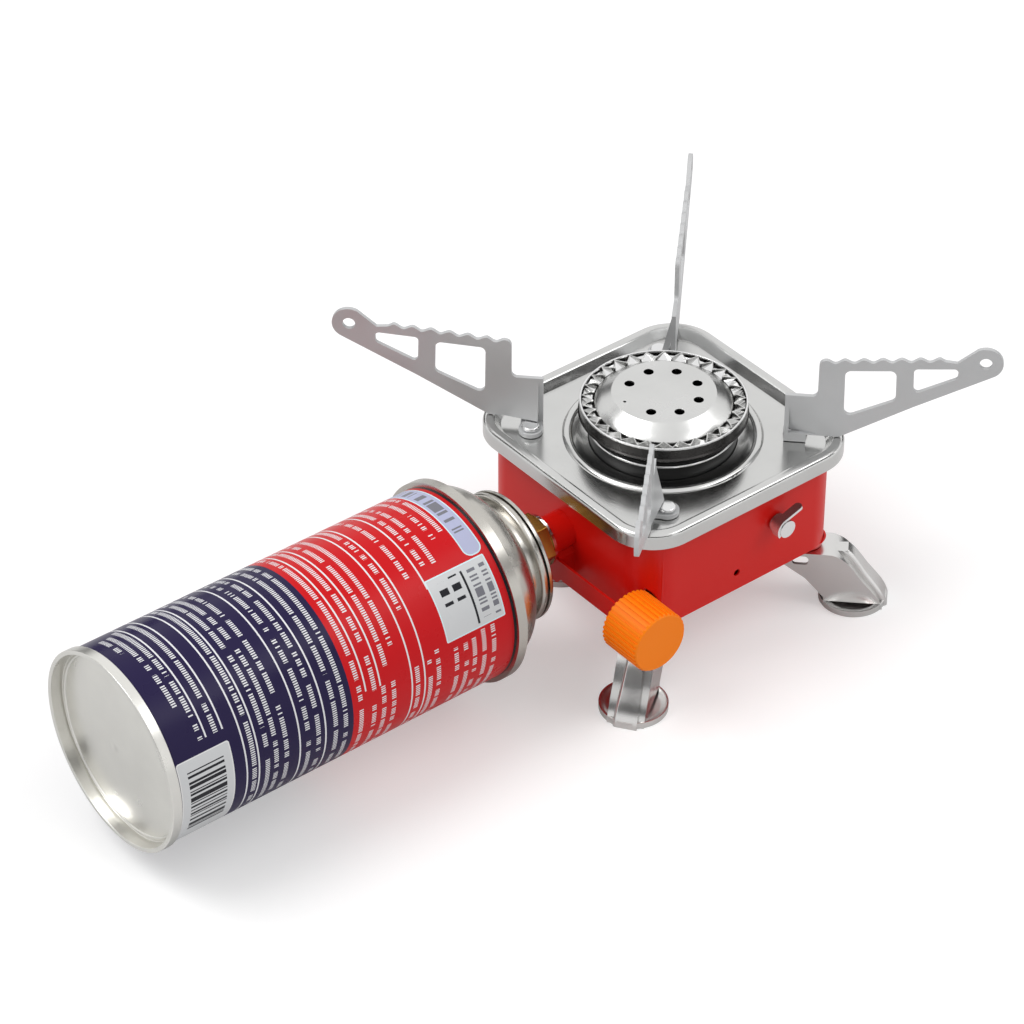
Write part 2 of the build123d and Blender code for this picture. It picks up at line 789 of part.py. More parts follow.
# Gas valve: a low block on the wall that holds the spindle, under a round boss for the inlet.
with BuildPart() as gas_valve:
    with BuildSketch(Plane.XZ):
        outline(
            (wall_x, valve_low_z),
            (wall_x - valve_depth_low, valve_low_z),
            (wall_x - valve_depth_low, valve_top_z),
            (wall_x, valve_top_z),
        )
    extrude(amount=valve_half_width, both=True)
    chamfer(gas_valve.edges().filter_by(Axis.X), valve_chamfer)
    with BuildSketch(Plane.YZ.offset(wall_x - valve_depth_high)):
        with Locations((0, gas_z)):
            Circle(valve_boss_r)
    extrude(amount=valve_depth_high)
    with BuildSketch(Plane.YZ.offset(wall_x)):
        with Locations((0, gas_z)):
            Circle(outlet_r)
    extrude(amount=outlet_reach)
    with BuildSketch(Plane.YZ.offset(wall_x - valve_depth_high)):
        with Locations((0, gas_z)):
            Circle(neck_r)
    extrude(amount=adapter_x + adapter_thickness - wall_x + valve_depth_high)
    with BuildSketch(Plane.YZ.offset(adapter_x)):
        with Locations((0, gas_z)):
            Circle(probe_bore_r)
    extrude(amount=wall_x + outlet_reach - adapter_x, mode=Mode.SUBTRACT)
    with BuildSketch(Plane.XZ.offset(valve_half_width)):
        with Locations((spindle_x, spindle_z)):
            Circle(spindle_r + play)
    extrude(amount=-spindle_depth, mode=Mode.SUBTRACT)
    with BuildSketch(Plane.YZ.offset(wall_x)):
        with Locations((-valve_screw_y, valve_screw_z), (valve_screw_y, valve_screw_z)):
            Circle(valve_screw_r)
    extrude(amount=-valve_depth_low, mode=Mode.SUBTRACT)
gas_valve.part.label = "gas_valve"
export_step(gas_valve.part, "parts/gas_valve.step")

with BuildPart() as valve_screws:
    with BuildSketch(Plane.YZ.offset(wall_x - valve_depth_low)):
        with Locations((-valve_screw_y, valve_screw_z), (valve_screw_y, valve_screw_z)):
            Circle(valve_screw_r)
    extrude(amount=valve_depth_low + casing_wall)
    with BuildSketch(Plane.YZ.offset(wall_x + casing_wall)):
        with Locations((-valve_screw_y, valve_screw_z), (valve_screw_y, valve_screw_z)):
            Circle(valve_screw_head_r)
    extrude(amount=valve_screw_head)
valve_screws.part.label = "valve_screws"
export_step(valve_screws.part, "parts/valve_screws.step")

# Inlet: a hexagon nut and washer on the neck, the can's bayonet plate, its seal and the probe.
plate_back_x = adapter_x + adapter_thickness
washer_x = wall_x - valve_depth_high - washer_thickness
with BuildPart() as inlet_nut:
    with BuildSketch(Plane.YZ.offset(plate_back_x)):
        with Locations((0, gas_z)):
            RegularPolygon(nut_flats / 2, 6, major_radius=False)
            Circle(neck_r, mode=Mode.SUBTRACT)
    extrude(amount=washer_x - plate_back_x)
    chamfer(inlet_nut.edges().group_by(Axis.X)[0].filter_by(GeomType.LINE), 0.8)
inlet_nut.part.label = "inlet_nut"
export_step(inlet_nut.part, "parts/inlet_nut.step")

with BuildPart() as inlet_washer:
    with BuildSketch(Plane.YZ.offset(washer_x)):
        with Locations((0, gas_z)):
            Circle(washer_r)
            Circle(neck_r, mode=Mode.SUBTRACT)
    extrude(amount=washer_thickness)
inlet_washer.part.label = "inlet_washer"
export_step(inlet_washer.part, "parts/inlet_washer.step")

with BuildPart() as can_adapter:
    with BuildSketch(Plane.YZ.offset(adapter_x)):
        with Locations((0, gas_z)):
            Circle(adapter_r)
    extrude(amount=adapter_thickness)
    fillet(can_adapter.edges().group_by(Axis.X)[-1], adapter_thickness / 2)
    with BuildSketch(Plane.YZ.offset(adapter_x)):
        with Locations((0, gas_z)):
            Circle(neck_r)
    extrude(amount=adapter_thickness, mode=Mode.SUBTRACT)
can_adapter.part.label = "can_adapter"
export_step(can_adapter.part, "parts/can_adapter.step")

with BuildPart() as inlet_probe:
    with BuildSketch(Plane.YZ.offset(adapter_x - stem_length / 2)):
        with Locations((0, gas_z)):
            Circle(probe_r)
            Circle(probe_bore_r, mode=Mode.SUBTRACT)
    extrude(amount=adapter_thickness + stem_length / 2)
    with BuildSketch(Plane.YZ.offset(adapter_x)):
        with Locations((0, gas_z)):
            Circle(neck_r)
            Circle(probe_bore_r, mode=Mode.SUBTRACT)
    extrude(amount=adapter_thickness)
inlet_probe.part.label = "inlet_probe"
export_step(inlet_probe.part, "parts/inlet_probe.step")

with BuildPart() as inlet_seal_ring:
    with BuildSketch(Plane.YZ.offset(adapter_x)):
        with Locations((0, gas_z)):
            Circle(inlet_seal_r)
            Circle(probe_r, mode=Mode.SUBTRACT)
    extrude(amount=-inlet_seal)
inlet_seal_ring.part.label = "inlet_seal"
export_step(inlet_seal_ring.part, "parts/inlet_seal.step")

# Control: a thin rod that turns in the valve block, with a finely ribbed knob on its end.
knob_far_y = knob_near_y - knob_length
with BuildPart() as valve_spindle:
    with BuildSketch(Plane.XZ.offset(valve_half_width - spindle_depth + gap)):
        with Locations((spindle_x, spindle_z)):
            Circle(spindle_r)
    extrude(amount=-knob_far_y - valve_half_width + spindle_depth - gap - knob_chamfer)
valve_spindle.part.label = "valve_spindle"
export_step(valve_spindle.part, "parts/valve_spindle.step")

with BuildPart() as control_knob:
    with BuildSketch(Plane.XZ.offset(-knob_near_y)):
        with Locations((spindle_x, spindle_z)):
            Circle(knob_r - knob_rib)
            with PolarLocations(knob_r - knob_rib, knob_rib_count):
                Rectangle(2 * knob_rib, pi * knob_r / knob_rib_count)
    extrude(amount=knob_length)
    with BuildSketch(Plane.XZ.offset(-knob_near_y)):
        with Locations((spindle_x, spindle_z)):
            Circle(spindle_r)
    extrude(amount=knob_length - knob_chamfer, mode=Mode.SUBTRACT)
    with BuildSketch(Plane.XY.offset(spindle_z)):
        outline(
            (spindle_x, knob_far_y),
            (spindle_x + knob_r - knob_chamfer, knob_far_y),
            (spindle_x + knob_r, knob_far_y + knob_chamfer),
            (spindle_x + knob_r, knob_near_y),
            (spindle_x, knob_near_y),
        )
    revolve(axis=Axis((spindle_x, 0, spindle_z), (0, 1, 0)), mode=Mode.INTERSECT)
control_knob.part.label = "control_knob"
export_step(control_knob.part, "parts/control_knob.step")

# Spindle guard: a thin strip that stands off the wall in front of the spindle.
guard_x = wall_x - valve_depth_low
with BuildPart() as spindle_guard:
    with BuildSketch(Plane.XY.offset(guard_bottom_z)):
        outline(
            (guard_x, guard_inner_y),
            (guard_x - guard_sheet, guard_inner_y),
            (guard_x - guard_sheet, guard_end_y),
            (wall_x, guard_end_y),
            (wall_x, guard_end_y + guard_sheet),
            (guard_x, guard_end_y + guard_sheet),
        )
    extrude(amount=guard_top_z - guard_bottom_z)
    with BuildSketch(Plane.XZ.offset(-guard_end_y)):
        with Locations((spindle_x, spindle_z)):
            Circle(spindle_r + play)
    extrude(amount=-guard_sheet, mode=Mode.SUBTRACT)
    outer_corner = spindle_guard.edges().filter_by(Axis.X).group_by(Axis.Z)[0].sort_by(Axis.Y)[-1]
    fillet(outer_corner, (guard_top_z - guard_bottom_z) / 2)
spindle_guard.part.label = "spindle_guard"
export_step(spindle_guard.part, "parts/spindle_guard.step")

# Jet and mixing tube: gas leaves the jet, draws air in at the bell and rises into the bowl.
jet_x = wall_x + outlet_reach
with BuildPart() as gas_jet:
    with BuildSketch(Plane.YZ.offset(jet_x)):
        with Locations((0, gas_z)):
            RegularPolygon(jet_r, 6)
            Circle(jet_bore_r, mode=Mode.SUBTRACT)
    extrude(amount=jet_length)
gas_jet.part.label = "gas_jet"
export_step(gas_jet.part, "parts/gas_jet.step")

with BuildPart() as mixing_tube:
    with BuildLine(Plane.XZ) as tube_path:
        FilletPolyline(
            (tube_mouth_x + tube_bell_length, gas_z),
            (0, gas_z),
            (0, bowl_z + bowl_wall),
            radius=tube_bend_r,
        )
    with BuildSketch(Plane.YZ.offset(tube_mouth_x + tube_bell_length)):
        with Locations((0, gas_z)):
            Circle(tube_r)
            Circle(tube_r - tube_wall, mode=Mode.SUBTRACT)
    sweep()
    with BuildSketch(Plane.XZ):
        outline(
            (tube_mouth_x, gas_z + tube_bell_r - tube_wall),
            (tube_mouth_x, gas_z + tube_bell_r),
            (tube_mouth_x + tube_bell_length, gas_z + tube_r),
            (tube_mouth_x + tube_bell_length, gas_z + tube_r - tube_wall),
        )
    revolve(axis=Axis((0, 0, gas_z), (1, 0, 0)))
mixing_tube.part.label = "mixing_tube"
export_step(mixing_tube.part, "parts/mixing_tube.step")

# Ignition: a lever outside turns a shaft, and the cam on its inner end presses the igniter.
with BuildPart() as ignition_lever:
    with BuildSketch(Plane.XZ.offset(-lever_front_y)):
        with BuildLine():
            inner = CenterArc((shaft_x, shaft_z), shaft_head_r, 90 + lever_rise, lever_wrap)
            outer = CenterArc((shaft_x, shaft_z), shaft_head_r + lever_sheet, 90 + lever_rise, lever_wrap)
            run = lever_reach * Vector(cos(radians(lever_rise)), sin(radians(lever_rise)))
            Line(inner @ 1, outer @ 1)
            Polyline(inner @ 0, inner @ 0 + run, outer @ 0 + run, outer @ 0)
        make_face()
    extrude(amount=-lever_width)
    tip_face = ignition_lever.faces().sort_by(Axis.X)[-1]
    fillet(tip_face.edges().filter_by(Axis.Y, reverse=True), lever_width / 2 - play)
ignition_lever.part.label = "ignition_lever"
export_step(ignition_lever.part, "parts/ignition_lever.step")

with BuildPart() as ignition_shaft:
    with BuildSketch(Plane.XZ.offset(-shaft_head_y)):
        with Locations((shaft_x, shaft_z)):
            Circle(shaft_head_r)
    extrude(amount=shaft_head_y - shaft_head_back_y)
    with BuildSketch(Plane.XZ.offset(-shaft_head_back_y)):
        with Locations((shaft_x, shaft_z)):
            Circle(shaft_r)
    extrude(amount=shaft_head_back_y - shaft_inner_y)
ignition_shaft.part.label = "ignition_shaft"
export_step(ignition_shaft.part, "parts/ignition_shaft.step")

with BuildPart() as ignition_cam:
    with BuildSketch(Plane.XZ.offset(-cam_y + cam_width / 2)):
        with Locations((shaft_x, shaft_z)):
            Circle(shaft_r + cam_half)
        with Locations((shaft_x + cam_reach / 2, shaft_z)):
            Rectangle(cam_reach, 2 * cam_half)
        with Locations((shaft_x + cam_reach, shaft_z)):
            Circle(cam_half)
        with Locations((shaft_x, shaft_z)):
            Circle(shaft_r, mode=Mode.SUBTRACT)
    extrude(amount=-cam_width)
ignition_cam.part.label = "ignition_cam"
export_step(ignition_cam.part, "parts/ignition_cam.step")

igniter_x = shaft_x + cam_reach - cam_half / 2
with BuildPart() as piezo_igniter:
    with BuildSketch(Plane.XY.offset(igniter_bottom_z)):
        with Locations((igniter_x, cam_y)):
            Rectangle(igniter_width, igniter_depth)
    extrude(amount=igniter_top_z - igniter_bottom_z)
    chamfer(piezo_igniter.edges().filter_by(Axis.Z), 1.0)
    with BuildSketch(Plane.XY.offset(igniter_top_z)):
        with Locations((igniter_x, cam_y)):
            Circle(plunger_r + play)
    extrude(amount=igniter_bottom_z + bracket_sheet - igniter_top_z, mode=Mode.SUBTRACT)
piezo_igniter.part.label = "piezo_igniter"
export_step(piezo_igniter.part, "parts/piezo_igniter.step")

with BuildPart() as piezo_plunger:
    with BuildSketch(Plane.XY.offset(plunger_top_z)):
        with Locations((igniter_x, cam_y)):
            Circle(plunger_r)
    extrude(amount=-plunger_length)
piezo_plunger.part.label = "piezo_plunger"
export_step(piezo_plunger.part, "parts/piezo_plunger.step")

with BuildPart() as piezo_bracket:
    bracket_y = cam_y + igniter_depth / 2
    with BuildSketch(Plane.YZ.offset(igniter_x - igniter_width / 2)):
        outline(
            (bracket_y, igniter_top_z),
            (bracket_y + bracket_sheet, igniter_top_z),
            (bracket_y + bracket_sheet, casing_z + base_sheet),
            (front_y + casing_wall + base_sheet, casing_z + base_sheet),
            (front_y + casing_wall + base_sheet, igniter_bottom_z),
            (bracket_y, igniter_bottom_z),
        )
    extrude(amount=igniter_width)
piezo_bracket.part.label = "piezo_bracket"
export_step(piezo_bracket.part, "parts/piezo_bracket.step")

# Electrode: a wire in a ceramic sleeve, rising behind the burner and pointing at the cup.
with BuildPart() as electrode_insulator:
    for low, high, radius in (
        (insulator_bottom_z, insulator_top_z, insulator_r),
        (flange_z - insulator_collar, flange_z, insulator_collar_r),
    ):
        with BuildSketch(Plane.XY.offset(low)):
            with Locations(electrode_spot):
                Circle(radius)
        extrude(amount=high - low)
    with BuildSketch(Plane.XY.offset(insulator_bottom_z)):
        with Locations(electrode_spot):
            Circle(electrode_wire_r)
    extrude(amount=insulator_top_z - insulator_bottom_z, mode=Mode.SUBTRACT)
    cut_r = bowl_r + play
    with BuildSketch(Plane.XY.offset(insulator_bottom_z)):
        Circle(cut_r)
    extrude(amount=insulator_top_z - insulator_bottom_z, mode=Mode.SUBTRACT)
electrode_insulator.part.label = "electrode_insulator"
export_step(electrode_insulator.part, "parts/electrode_insulator.step")

with BuildPart() as spark_electrode:
    wire_plane = Plane(
        origin=(0, 0, 0),
        x_dir=(cos(radians(electrode_angle)), sin(radians(electrode_angle)), 0),
        z_dir=(sin(radians(electrode_angle)), -cos(radians(electrode_angle)), 0),
    )
    with BuildLine(wire_plane) as wire_path:
        FilletPolyline(
            (electrode_r, insulator_bottom_z),
            (electrode_r, insulator_top_z + 2 * electrode_wire_r),
            (electrode_r + electrode_out, insulator_top_z + 4 * electrode_wire_r + electrode_out),
            (electrode_r + electrode_out, electrode_top_z),
            radius=2 * electrode_wire_r,
        )
    with BuildSketch(Plane.XY.offset(insulator_bottom_z)):
        with Locations(electrode_spot):
            Circle(electrode_wire_r)
    sweep()
spark_electrode.part.label = "spark_electrode"
export_step(spark_electrode.part, "parts/spark_electrode.step")


# Gas can: a rolled body, two seamed ends, a mounting cup and a sprung stem.
def turned(*corners, mode=Mode.ADD):
    """A ring turned about the can's axis from (x, radius) corners."""
    with BuildSketch(Plane.XZ) as profile:
        outline(*((x, gas_z + radius) for x, radius in corners))
    revolve(profile.sketch, axis=Axis((0, 0, gas_z), (1, 0, 0)), mode=mode)


with BuildPart() as can_body:
    turned(
        (can_back_x, can_r),
        (can_front_x, can_r),
        (can_front_x, can_r - can_sheet),
        (can_back_x, can_r - can_sheet),
    )
can_body.part.label = "can_body"
export_step(can_body.part, "parts/can_body.step")

with BuildPart() as can_bottom:
    inside_r = back_seam_r - seam_width
    dome_rim_r = inside_r - can_sheet
    back_end_x = can_back_x - seam_length
    recess_x = back_end_x + bottom_recess
    sphere_r = (dome_rim_r**2 + bottom_dome**2) / (2 * bottom_dome)
    half_way = sphere_r - bottom_dome - sqrt(sphere_r**2 - dome_rim_r**2 / 4)
    turned(
        (recess_x, dome_rim_r),
        (recess_x + can_sheet, dome_rim_r),
        (recess_x + can_sheet, can_r - can_sheet),
        (can_back_x, can_r - can_sheet),
        (can_back_x, back_seam_r),
        (back_end_x, back_seam_r),
        (back_end_x, inside_r),
        (recess_x, inside_r),
    )
    with BuildSketch(Plane.XZ):
        with BuildLine():
            for start in (recess_x, recess_x + can_sheet):
                ThreePointArc(
                    (start - bottom_dome, gas_z),
                    (start + half_way, gas_z + dome_rim_r / 2),
                    (start, gas_z + dome_rim_r),
                )
            Line((recess_x - bottom_dome, gas_z), (recess_x - bottom_dome + can_sheet, gas_z))
            Line((recess_x, gas_z + dome_rim_r), (recess_x + can_sheet, gas_z + dome_rim_r))
        make_face()
    revolve(axis=Axis((0, 0, gas_z), (1, 0, 0)))
can_bottom.part.label = "can_bottom"
export_step(can_bottom.part, "parts/can_bottom.step")

seam_front_x = can_front_x + seam_length
with BuildPart() as can_dome:
    with BuildSketch(Plane.XZ):
        with BuildLine():
            dome_ends = []
            for radius, end_x, end_r in (
                (dome_round, seam_front_x, can_neck_r),
                (dome_round - can_sheet, seam_front_x - can_sheet, can_neck_r - can_sheet),
            ):
                shoulder_r = dome_centre_r + sqrt(radius**2 - (end_x - dome_centre_x) ** 2)
                neck_x = dome_centre_x + sqrt(radius**2 - (end_r - dome_centre_r) ** 2)
                middle = (dome_centre_x + radius * cos(pi / 4), dome_centre_r + radius * sin(pi / 4))
                ThreePointArc(
                    (end_x, gas_z + shoulder_r),
                    (middle[0], gas_z + middle[1]),
                    (neck_x, gas_z + end_r),
                )
                Line((neck_x, gas_z + end_r), (dome_front_x, gas_z + end_r))
                dome_ends.append((end_x, gas_z + shoulder_r))
            Line((dome_front_x, gas_z + can_neck_r), (dome_front_x, gas_z + can_neck_r - can_sheet))
            Polyline(
                dome_ends[0],
                (seam_front_x, gas_z + front_seam_r),
                (can_front_x, gas_z + front_seam_r),
                (can_front_x, gas_z + can_r - can_sheet),
                (seam_front_x - can_sheet, gas_z + can_r - can_sheet),
                dome_ends[1],
            )
        make_face()
    revolve(axis=Axis((0, 0, gas_z), (1, 0, 0)))
can_dome.part.label = "can_dome"
export_step(can_dome.part, "parts/can_dome.step")

cup_front_x = adapter_x - gap
with BuildPart() as can_valve_cup:
    turned(
        (dome_front_x, can_neck_r - can_sheet),
        (dome_front_x, cup_ring_r),
        (cup_front_x, cup_ring_r),
        (cup_front_x, cup_ring_r - cup_ring),
        (cup_front_x - 2 * can_sheet, cup_ring_r - cup_ring - 2 * can_sheet),
        (cup_front_x - 2 * can_sheet, cup_well_r),
        (cup_front_x - cup_well_depth, cup_well_r - can_sheet),
        (cup_front_x - cup_well_depth, stem_r + play),
        (cup_front_x - cup_well_depth - can_sheet, stem_r + play),
        (cup_front_x - cup_well_depth - can_sheet, cup_well_r),
        (cup_front_x - 3 * can_sheet, cup_well_r + can_sheet),
        (cup_front_x - 3 * can_sheet, can_neck_r - can_sheet),
    )
    rim_edges = can_valve_cup.edges().filter_by(GeomType.CIRCLE).sort_by(SortBy.RADIUS)[-2:]
    fillet(rim_edges, cup_curl)
can_valve_cup.part.label = "can_valve_cup"
export_step(can_valve_cup.part, "parts/can_valve_cup.step")

stem_back_x = cup_front_x - cup_well_depth - stem_length
with BuildPart() as can_stem:
    turned(
        (stem_back_x, probe_bore_r),
        (stem_back_x, 2 * stem_r),
        (stem_back_x + stem_r, 2 * stem_r),
        (stem_back_x + stem_r, stem_r),
        (adapter_x - stem_length / 2 - gap, stem_r),
        (adapter_x - stem_length / 2 - gap, probe_bore_r),
    )
can_stem.part.label = "can_stem"
export_step(can_stem.part, "parts/can_stem.step")

with BuildPart() as can_stem_seal:
    turned(
        (cup_front_x - cup_well_depth - can_sheet, stem_r + play),
        (cup_front_x - cup_well_depth - can_sheet, stem_seal_r),
        (cup_front_x - cup_well_depth - can_sheet - inlet_seal, stem_seal_r),
        (cup_front_x - cup_well_depth - can_sheet - inlet_seal, stem_r + play),
    )
can_stem_seal.part.label = "can_stem_seal"
export_step(can_stem_seal.part, "parts/can_stem_seal.step")
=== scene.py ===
# %% [markdown]
# A cassette stove, dressed in Blender
# The stove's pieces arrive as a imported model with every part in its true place. This lesson gives each
# part its finish, rounds the edges that a press or a lathe would round, and adds the fine details.
# It begins with the model itself: loading it gives the nodes, and the bodies that they move with.

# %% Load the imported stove
import json
import math
import random

import bmesh
import bpy
from mathutils import Matrix, Vector

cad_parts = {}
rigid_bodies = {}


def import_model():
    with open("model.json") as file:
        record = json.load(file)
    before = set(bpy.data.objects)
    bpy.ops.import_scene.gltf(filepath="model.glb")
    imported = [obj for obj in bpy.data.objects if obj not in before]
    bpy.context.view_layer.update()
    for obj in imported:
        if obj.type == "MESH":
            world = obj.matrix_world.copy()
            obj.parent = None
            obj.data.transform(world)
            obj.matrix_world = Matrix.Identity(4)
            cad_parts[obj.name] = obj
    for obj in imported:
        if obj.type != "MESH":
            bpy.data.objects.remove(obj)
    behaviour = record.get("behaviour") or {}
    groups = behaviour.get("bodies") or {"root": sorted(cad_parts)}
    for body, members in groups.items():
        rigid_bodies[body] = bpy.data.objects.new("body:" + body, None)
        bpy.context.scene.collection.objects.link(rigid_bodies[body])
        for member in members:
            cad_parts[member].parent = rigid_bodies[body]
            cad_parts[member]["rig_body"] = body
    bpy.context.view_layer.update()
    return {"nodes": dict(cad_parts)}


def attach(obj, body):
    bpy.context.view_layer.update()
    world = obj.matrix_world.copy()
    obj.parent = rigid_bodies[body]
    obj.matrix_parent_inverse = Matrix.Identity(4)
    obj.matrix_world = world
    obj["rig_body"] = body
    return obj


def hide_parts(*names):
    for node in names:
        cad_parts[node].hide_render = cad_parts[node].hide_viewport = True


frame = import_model()

# %% [markdown]
# Camera
# A long lens from high on one side keeps the can and the top plate nearly free of perspective, as in a
# catalogue. The view is given by two angles and a distance, and the camera looks at one named point,
# because that is easier to adjust than a rotation.

# %% Camera
VIEW_TURN = math.radians(51.36)
VIEW_DROP = math.radians(37.67)
VIEW_DISTANCE = 1.3578
VIEW_TARGET = Vector((-0.0325, 0.0384, 0.0225))
LENS = 142.4

view_direction = Vector(
    (
        math.cos(VIEW_TURN) * math.cos(VIEW_DROP),
        math.sin(VIEW_TURN) * math.cos(VIEW_DROP),
        -math.sin(VIEW_DROP),
    )
)
camera = bpy.data.objects.new("camera", bpy.data.cameras.new("camera"))
camera.location = VIEW_TARGET - VIEW_DISTANCE * view_direction
camera.rotation_euler = view_direction.to_track_quat("-Z", "Y").to_euler()
camera.data.lens = LENS
camera.data.sensor_width = 36
bpy.context.scene.collection.objects.link(camera)
bpy.context.scene.camera = camera
print("camera at", [round(c, 3) for c in camera.location])

# %% [markdown]
# Node helpers
# Every finish below is a small node tree. These helpers add a node, wire it, and read Object
# coordinates, so a pattern has its true size in metres and stays put on its piece.


# %% Node helpers
SEED_STRETCH = 50.0


class Finish:
    """A material with a Principled shader and short ways to build patterns for it."""

    def __init__(self, name):
        self.material = bpy.data.materials.new(name)
        self.material.use_nodes = True
        self.tree = self.material.node_tree
        self.shader = self.tree.nodes["Principled BSDF"]
        self.place = self.add("ShaderNodeTexCoord").outputs["Object"]

    def add(self, kind, **values):
        """Adds a node; values are its properties, or its inputs by name."""
        node = self.tree.nodes.new(kind)
        for key, value in values.items():
            if hasattr(node, key):
                setattr(node, key, value)
            else:
                node.inputs[key.replace("_", " ")].default_value = value
        return node

    def wire(self, source, target):
        self.tree.links.new(source, target)

    def set(self, **values):
        for key, value in values.items():
            self.shader.inputs[key.replace("_", " ")].default_value = value

    def stretched(self, scale):
        """Object coordinates stretched by scale, for brushed grain."""
        mapping = self.add("ShaderNodeMapping")
        mapping.inputs["Scale"].default_value = scale
        self.wire(self.place, mapping.inputs["Vector"])
        return mapping.outputs["Vector"]

    def noise(self, scale, detail=3.0, where=None):
        """Soft noise, with features of about 1 / scale metres."""
        node = self.add("ShaderNodeTexNoise", Scale=scale, Detail=detail)
        self.wire(where or self.place, node.inputs["Vector"])
        return node.outputs["Fac"]

    def between(self, factor, low, high):
        """Maps a factor of about 0.3 to 0.7 onto low to high."""
        node = self.add("ShaderNodeMapRange")
        for key, value in (("From Min", 0.3), ("From Max", 0.7), ("To Min", low), ("To Max", high)):
            node.inputs[key].default_value = value
        self.wire(factor, node.inputs["Value"])
        return node.outputs["Result"]

    def maths(self, operation, first, second=0.0, third=0.0):
        node = self.add("ShaderNodeMath", operation=operation)
        for slot, value in enumerate((first, second, third)):
            if isinstance(value, (int, float)):
                node.inputs[slot].default_value = value
            else:
                self.wire(value, node.inputs[slot])
        return node.outputs["Value"]

    def near(self, value, middle, half):
        """1 where value is within half of middle."""
        return self.maths("COMPARE", value, middle, half)

    def cells(self, first, second, seed):
        """Random numbers on a grid; first and second are (value, size of a cell)."""
        corner = self.add("ShaderNodeCombineXYZ")
        for axis, (value, size) in (("X", first), ("Y", second)):
            self.wire(self.maths("FLOOR", self.maths("DIVIDE", value, size)), corner.inputs[axis])
        if isinstance(seed, (int, float)):
            corner.inputs["Z"].default_value = SEED_STRETCH * seed
        else:
            self.wire(self.maths("MULTIPLY", seed, SEED_STRETCH), corner.inputs["Z"])
        noise = self.add("ShaderNodeTexWhiteNoise", noise_dimensions="3D")
        self.wire(corner.outputs["Vector"], noise.inputs["Vector"])
        return noise.outputs["Value"]

    def vectors(self, operation, first, second=None):
        node = self.add("ShaderNodeVectorMath", operation=operation)
        self.wire(first, node.inputs[0])
        if isinstance(second, tuple):
            node.inputs[1].default_value = second
        elif second is not None:
            self.wire(second, node.inputs[1])
        return node.outputs["Vector"]

    def vector_length(self, vector):
        node = self.add("ShaderNodeVectorMath", operation="LENGTH")
        self.wire(vector, node.inputs[0])
        return node.outputs["Value"]

    def mix(self, factor, first, second):
        """A colour mix; first and second are colours or sockets."""
        node = self.add("ShaderNodeMix", data_type="RGBA")
        self.wire(factor, node.inputs["Factor"])
        for slot, value in (("A", first), ("B", second)):
            socket = [s for s in node.inputs if s.name == slot and s.type == "RGBA"][0]
            if isinstance(value, tuple):
                socket.default_value = (*value, 1.0)
            else:
                self.wire(value, socket)
        return [s for s in node.outputs if s.type == "RGBA"][0]

    def colour(self, source):
        if isinstance(source, tuple):
            self.shader.inputs["Base Color"].default_value = (*source, 1.0)
        else:
            self.wire(source, self.shader.inputs["Base Color"])

    def rough(self, source):
        self.wire(source, self.shader.inputs["Roughness"])

    def bump(self, height, depth):
        """Raises the surface by depth metres where height is 1."""
        node = self.add("ShaderNodeBump", Distance=depth, Strength=1.0)
        self.wire(height, node.inputs["Height"])
        self.wire(node.outputs["Normal"], self.shader.inputs["Normal"])


# %% [markdown]
# Metals
# Pressed stainless, tinplate, plated steel and brass are one recipe with other numbers: a metal with
# a clean colour, a roughness that drifts a little as handling marks do, and a grain that is far too
# fine to see as lines but spreads the highlights along the sheet. The supports take a low shine, which
# lets their own grey show through what they mirror.


# %% Metals
WEAR_SCALE = 60.0
WORN_SHADE = 0.93


def metal_surface(name, roughness, drift, grain=(300.0, 300.0, 300.0), depth=0.00001, shine=1.0):
    """A metal's roughness and grain without its colour, and the noise that its wear follows."""
    finish = Finish(name)
    finish.set(Metallic=shine)
    wear = finish.noise(WEAR_SCALE, 4.0)
    finish.rough(finish.between(wear, roughness - drift, roughness + drift))
    finish.bump(finish.noise(1.0, 2.0, finish.stretched(grain)), depth)
    return finish, wear


def metal(name, tint, *surface, **more):
    """A metal of one colour, slightly darker where it is worn."""
    finish, wear = metal_surface(name, *surface, **more)
    shade = tuple(channel * WORN_SHADE for channel in tint)
    finish.colour(finish.mix(finish.between(wear, 0.0, 1.0), shade, tint))
    return finish.material


FINE_GRAIN = (900, 900, 900)
TIN_GRAIN = (700, 700, 700)
PLATE_GRAIN = (500, 2500, 500)
BLADE_GRAIN = (2200, 2200, 300)

stainless_plate = metal("stainless_plate", (0.66, 0.66, 0.65), 0.19, 0.03, PLATE_GRAIN, 0.000003)
support_steel = metal(
    "support_steel", (0.57, 0.575, 0.58), 0.40, 0.04, BLADE_GRAIN, 0.000008, shine=0.25
)
leg_steel = metal("leg_steel", (0.72, 0.71, 0.70), 0.24, 0.04, FINE_GRAIN, 0.000006)
burner_steel = metal("burner_steel", (0.68, 0.68, 0.67), 0.25, 0.04, FINE_GRAIN, 0.000006)
bright_steel = metal("bright_steel", (0.80, 0.80, 0.80), 0.12, 0.04)
tinplate = metal("tinplate", (0.56, 0.54, 0.50), 0.26, 0.03, TIN_GRAIN, 0.000004)
end_tin = metal("end_tin", (0.80, 0.79, 0.75), 0.30, 0.03, TIN_GRAIN, 0.000004)
brass = metal("brass", (0.42, 0.20, 0.04), 0.24, 0.05)
print("metals of one colour:", 8)

# %% [markdown]
# The lever's two shades
# The lever is small, bright and bent, and stands close to the red casing. The faces that look up are
# darker than those that look sideways, as they would be with something dark above them. It is a
# stand-in for reflections, set by the direction of each face in the room, so it doesn't travel with
# the lever and changes a little when the lever turns.

# %% The lever's two shades
LEVER_BRIGHT = (0.84, 0.84, 0.84)
LEVER_DARK = (0.26, 0.26, 0.26)

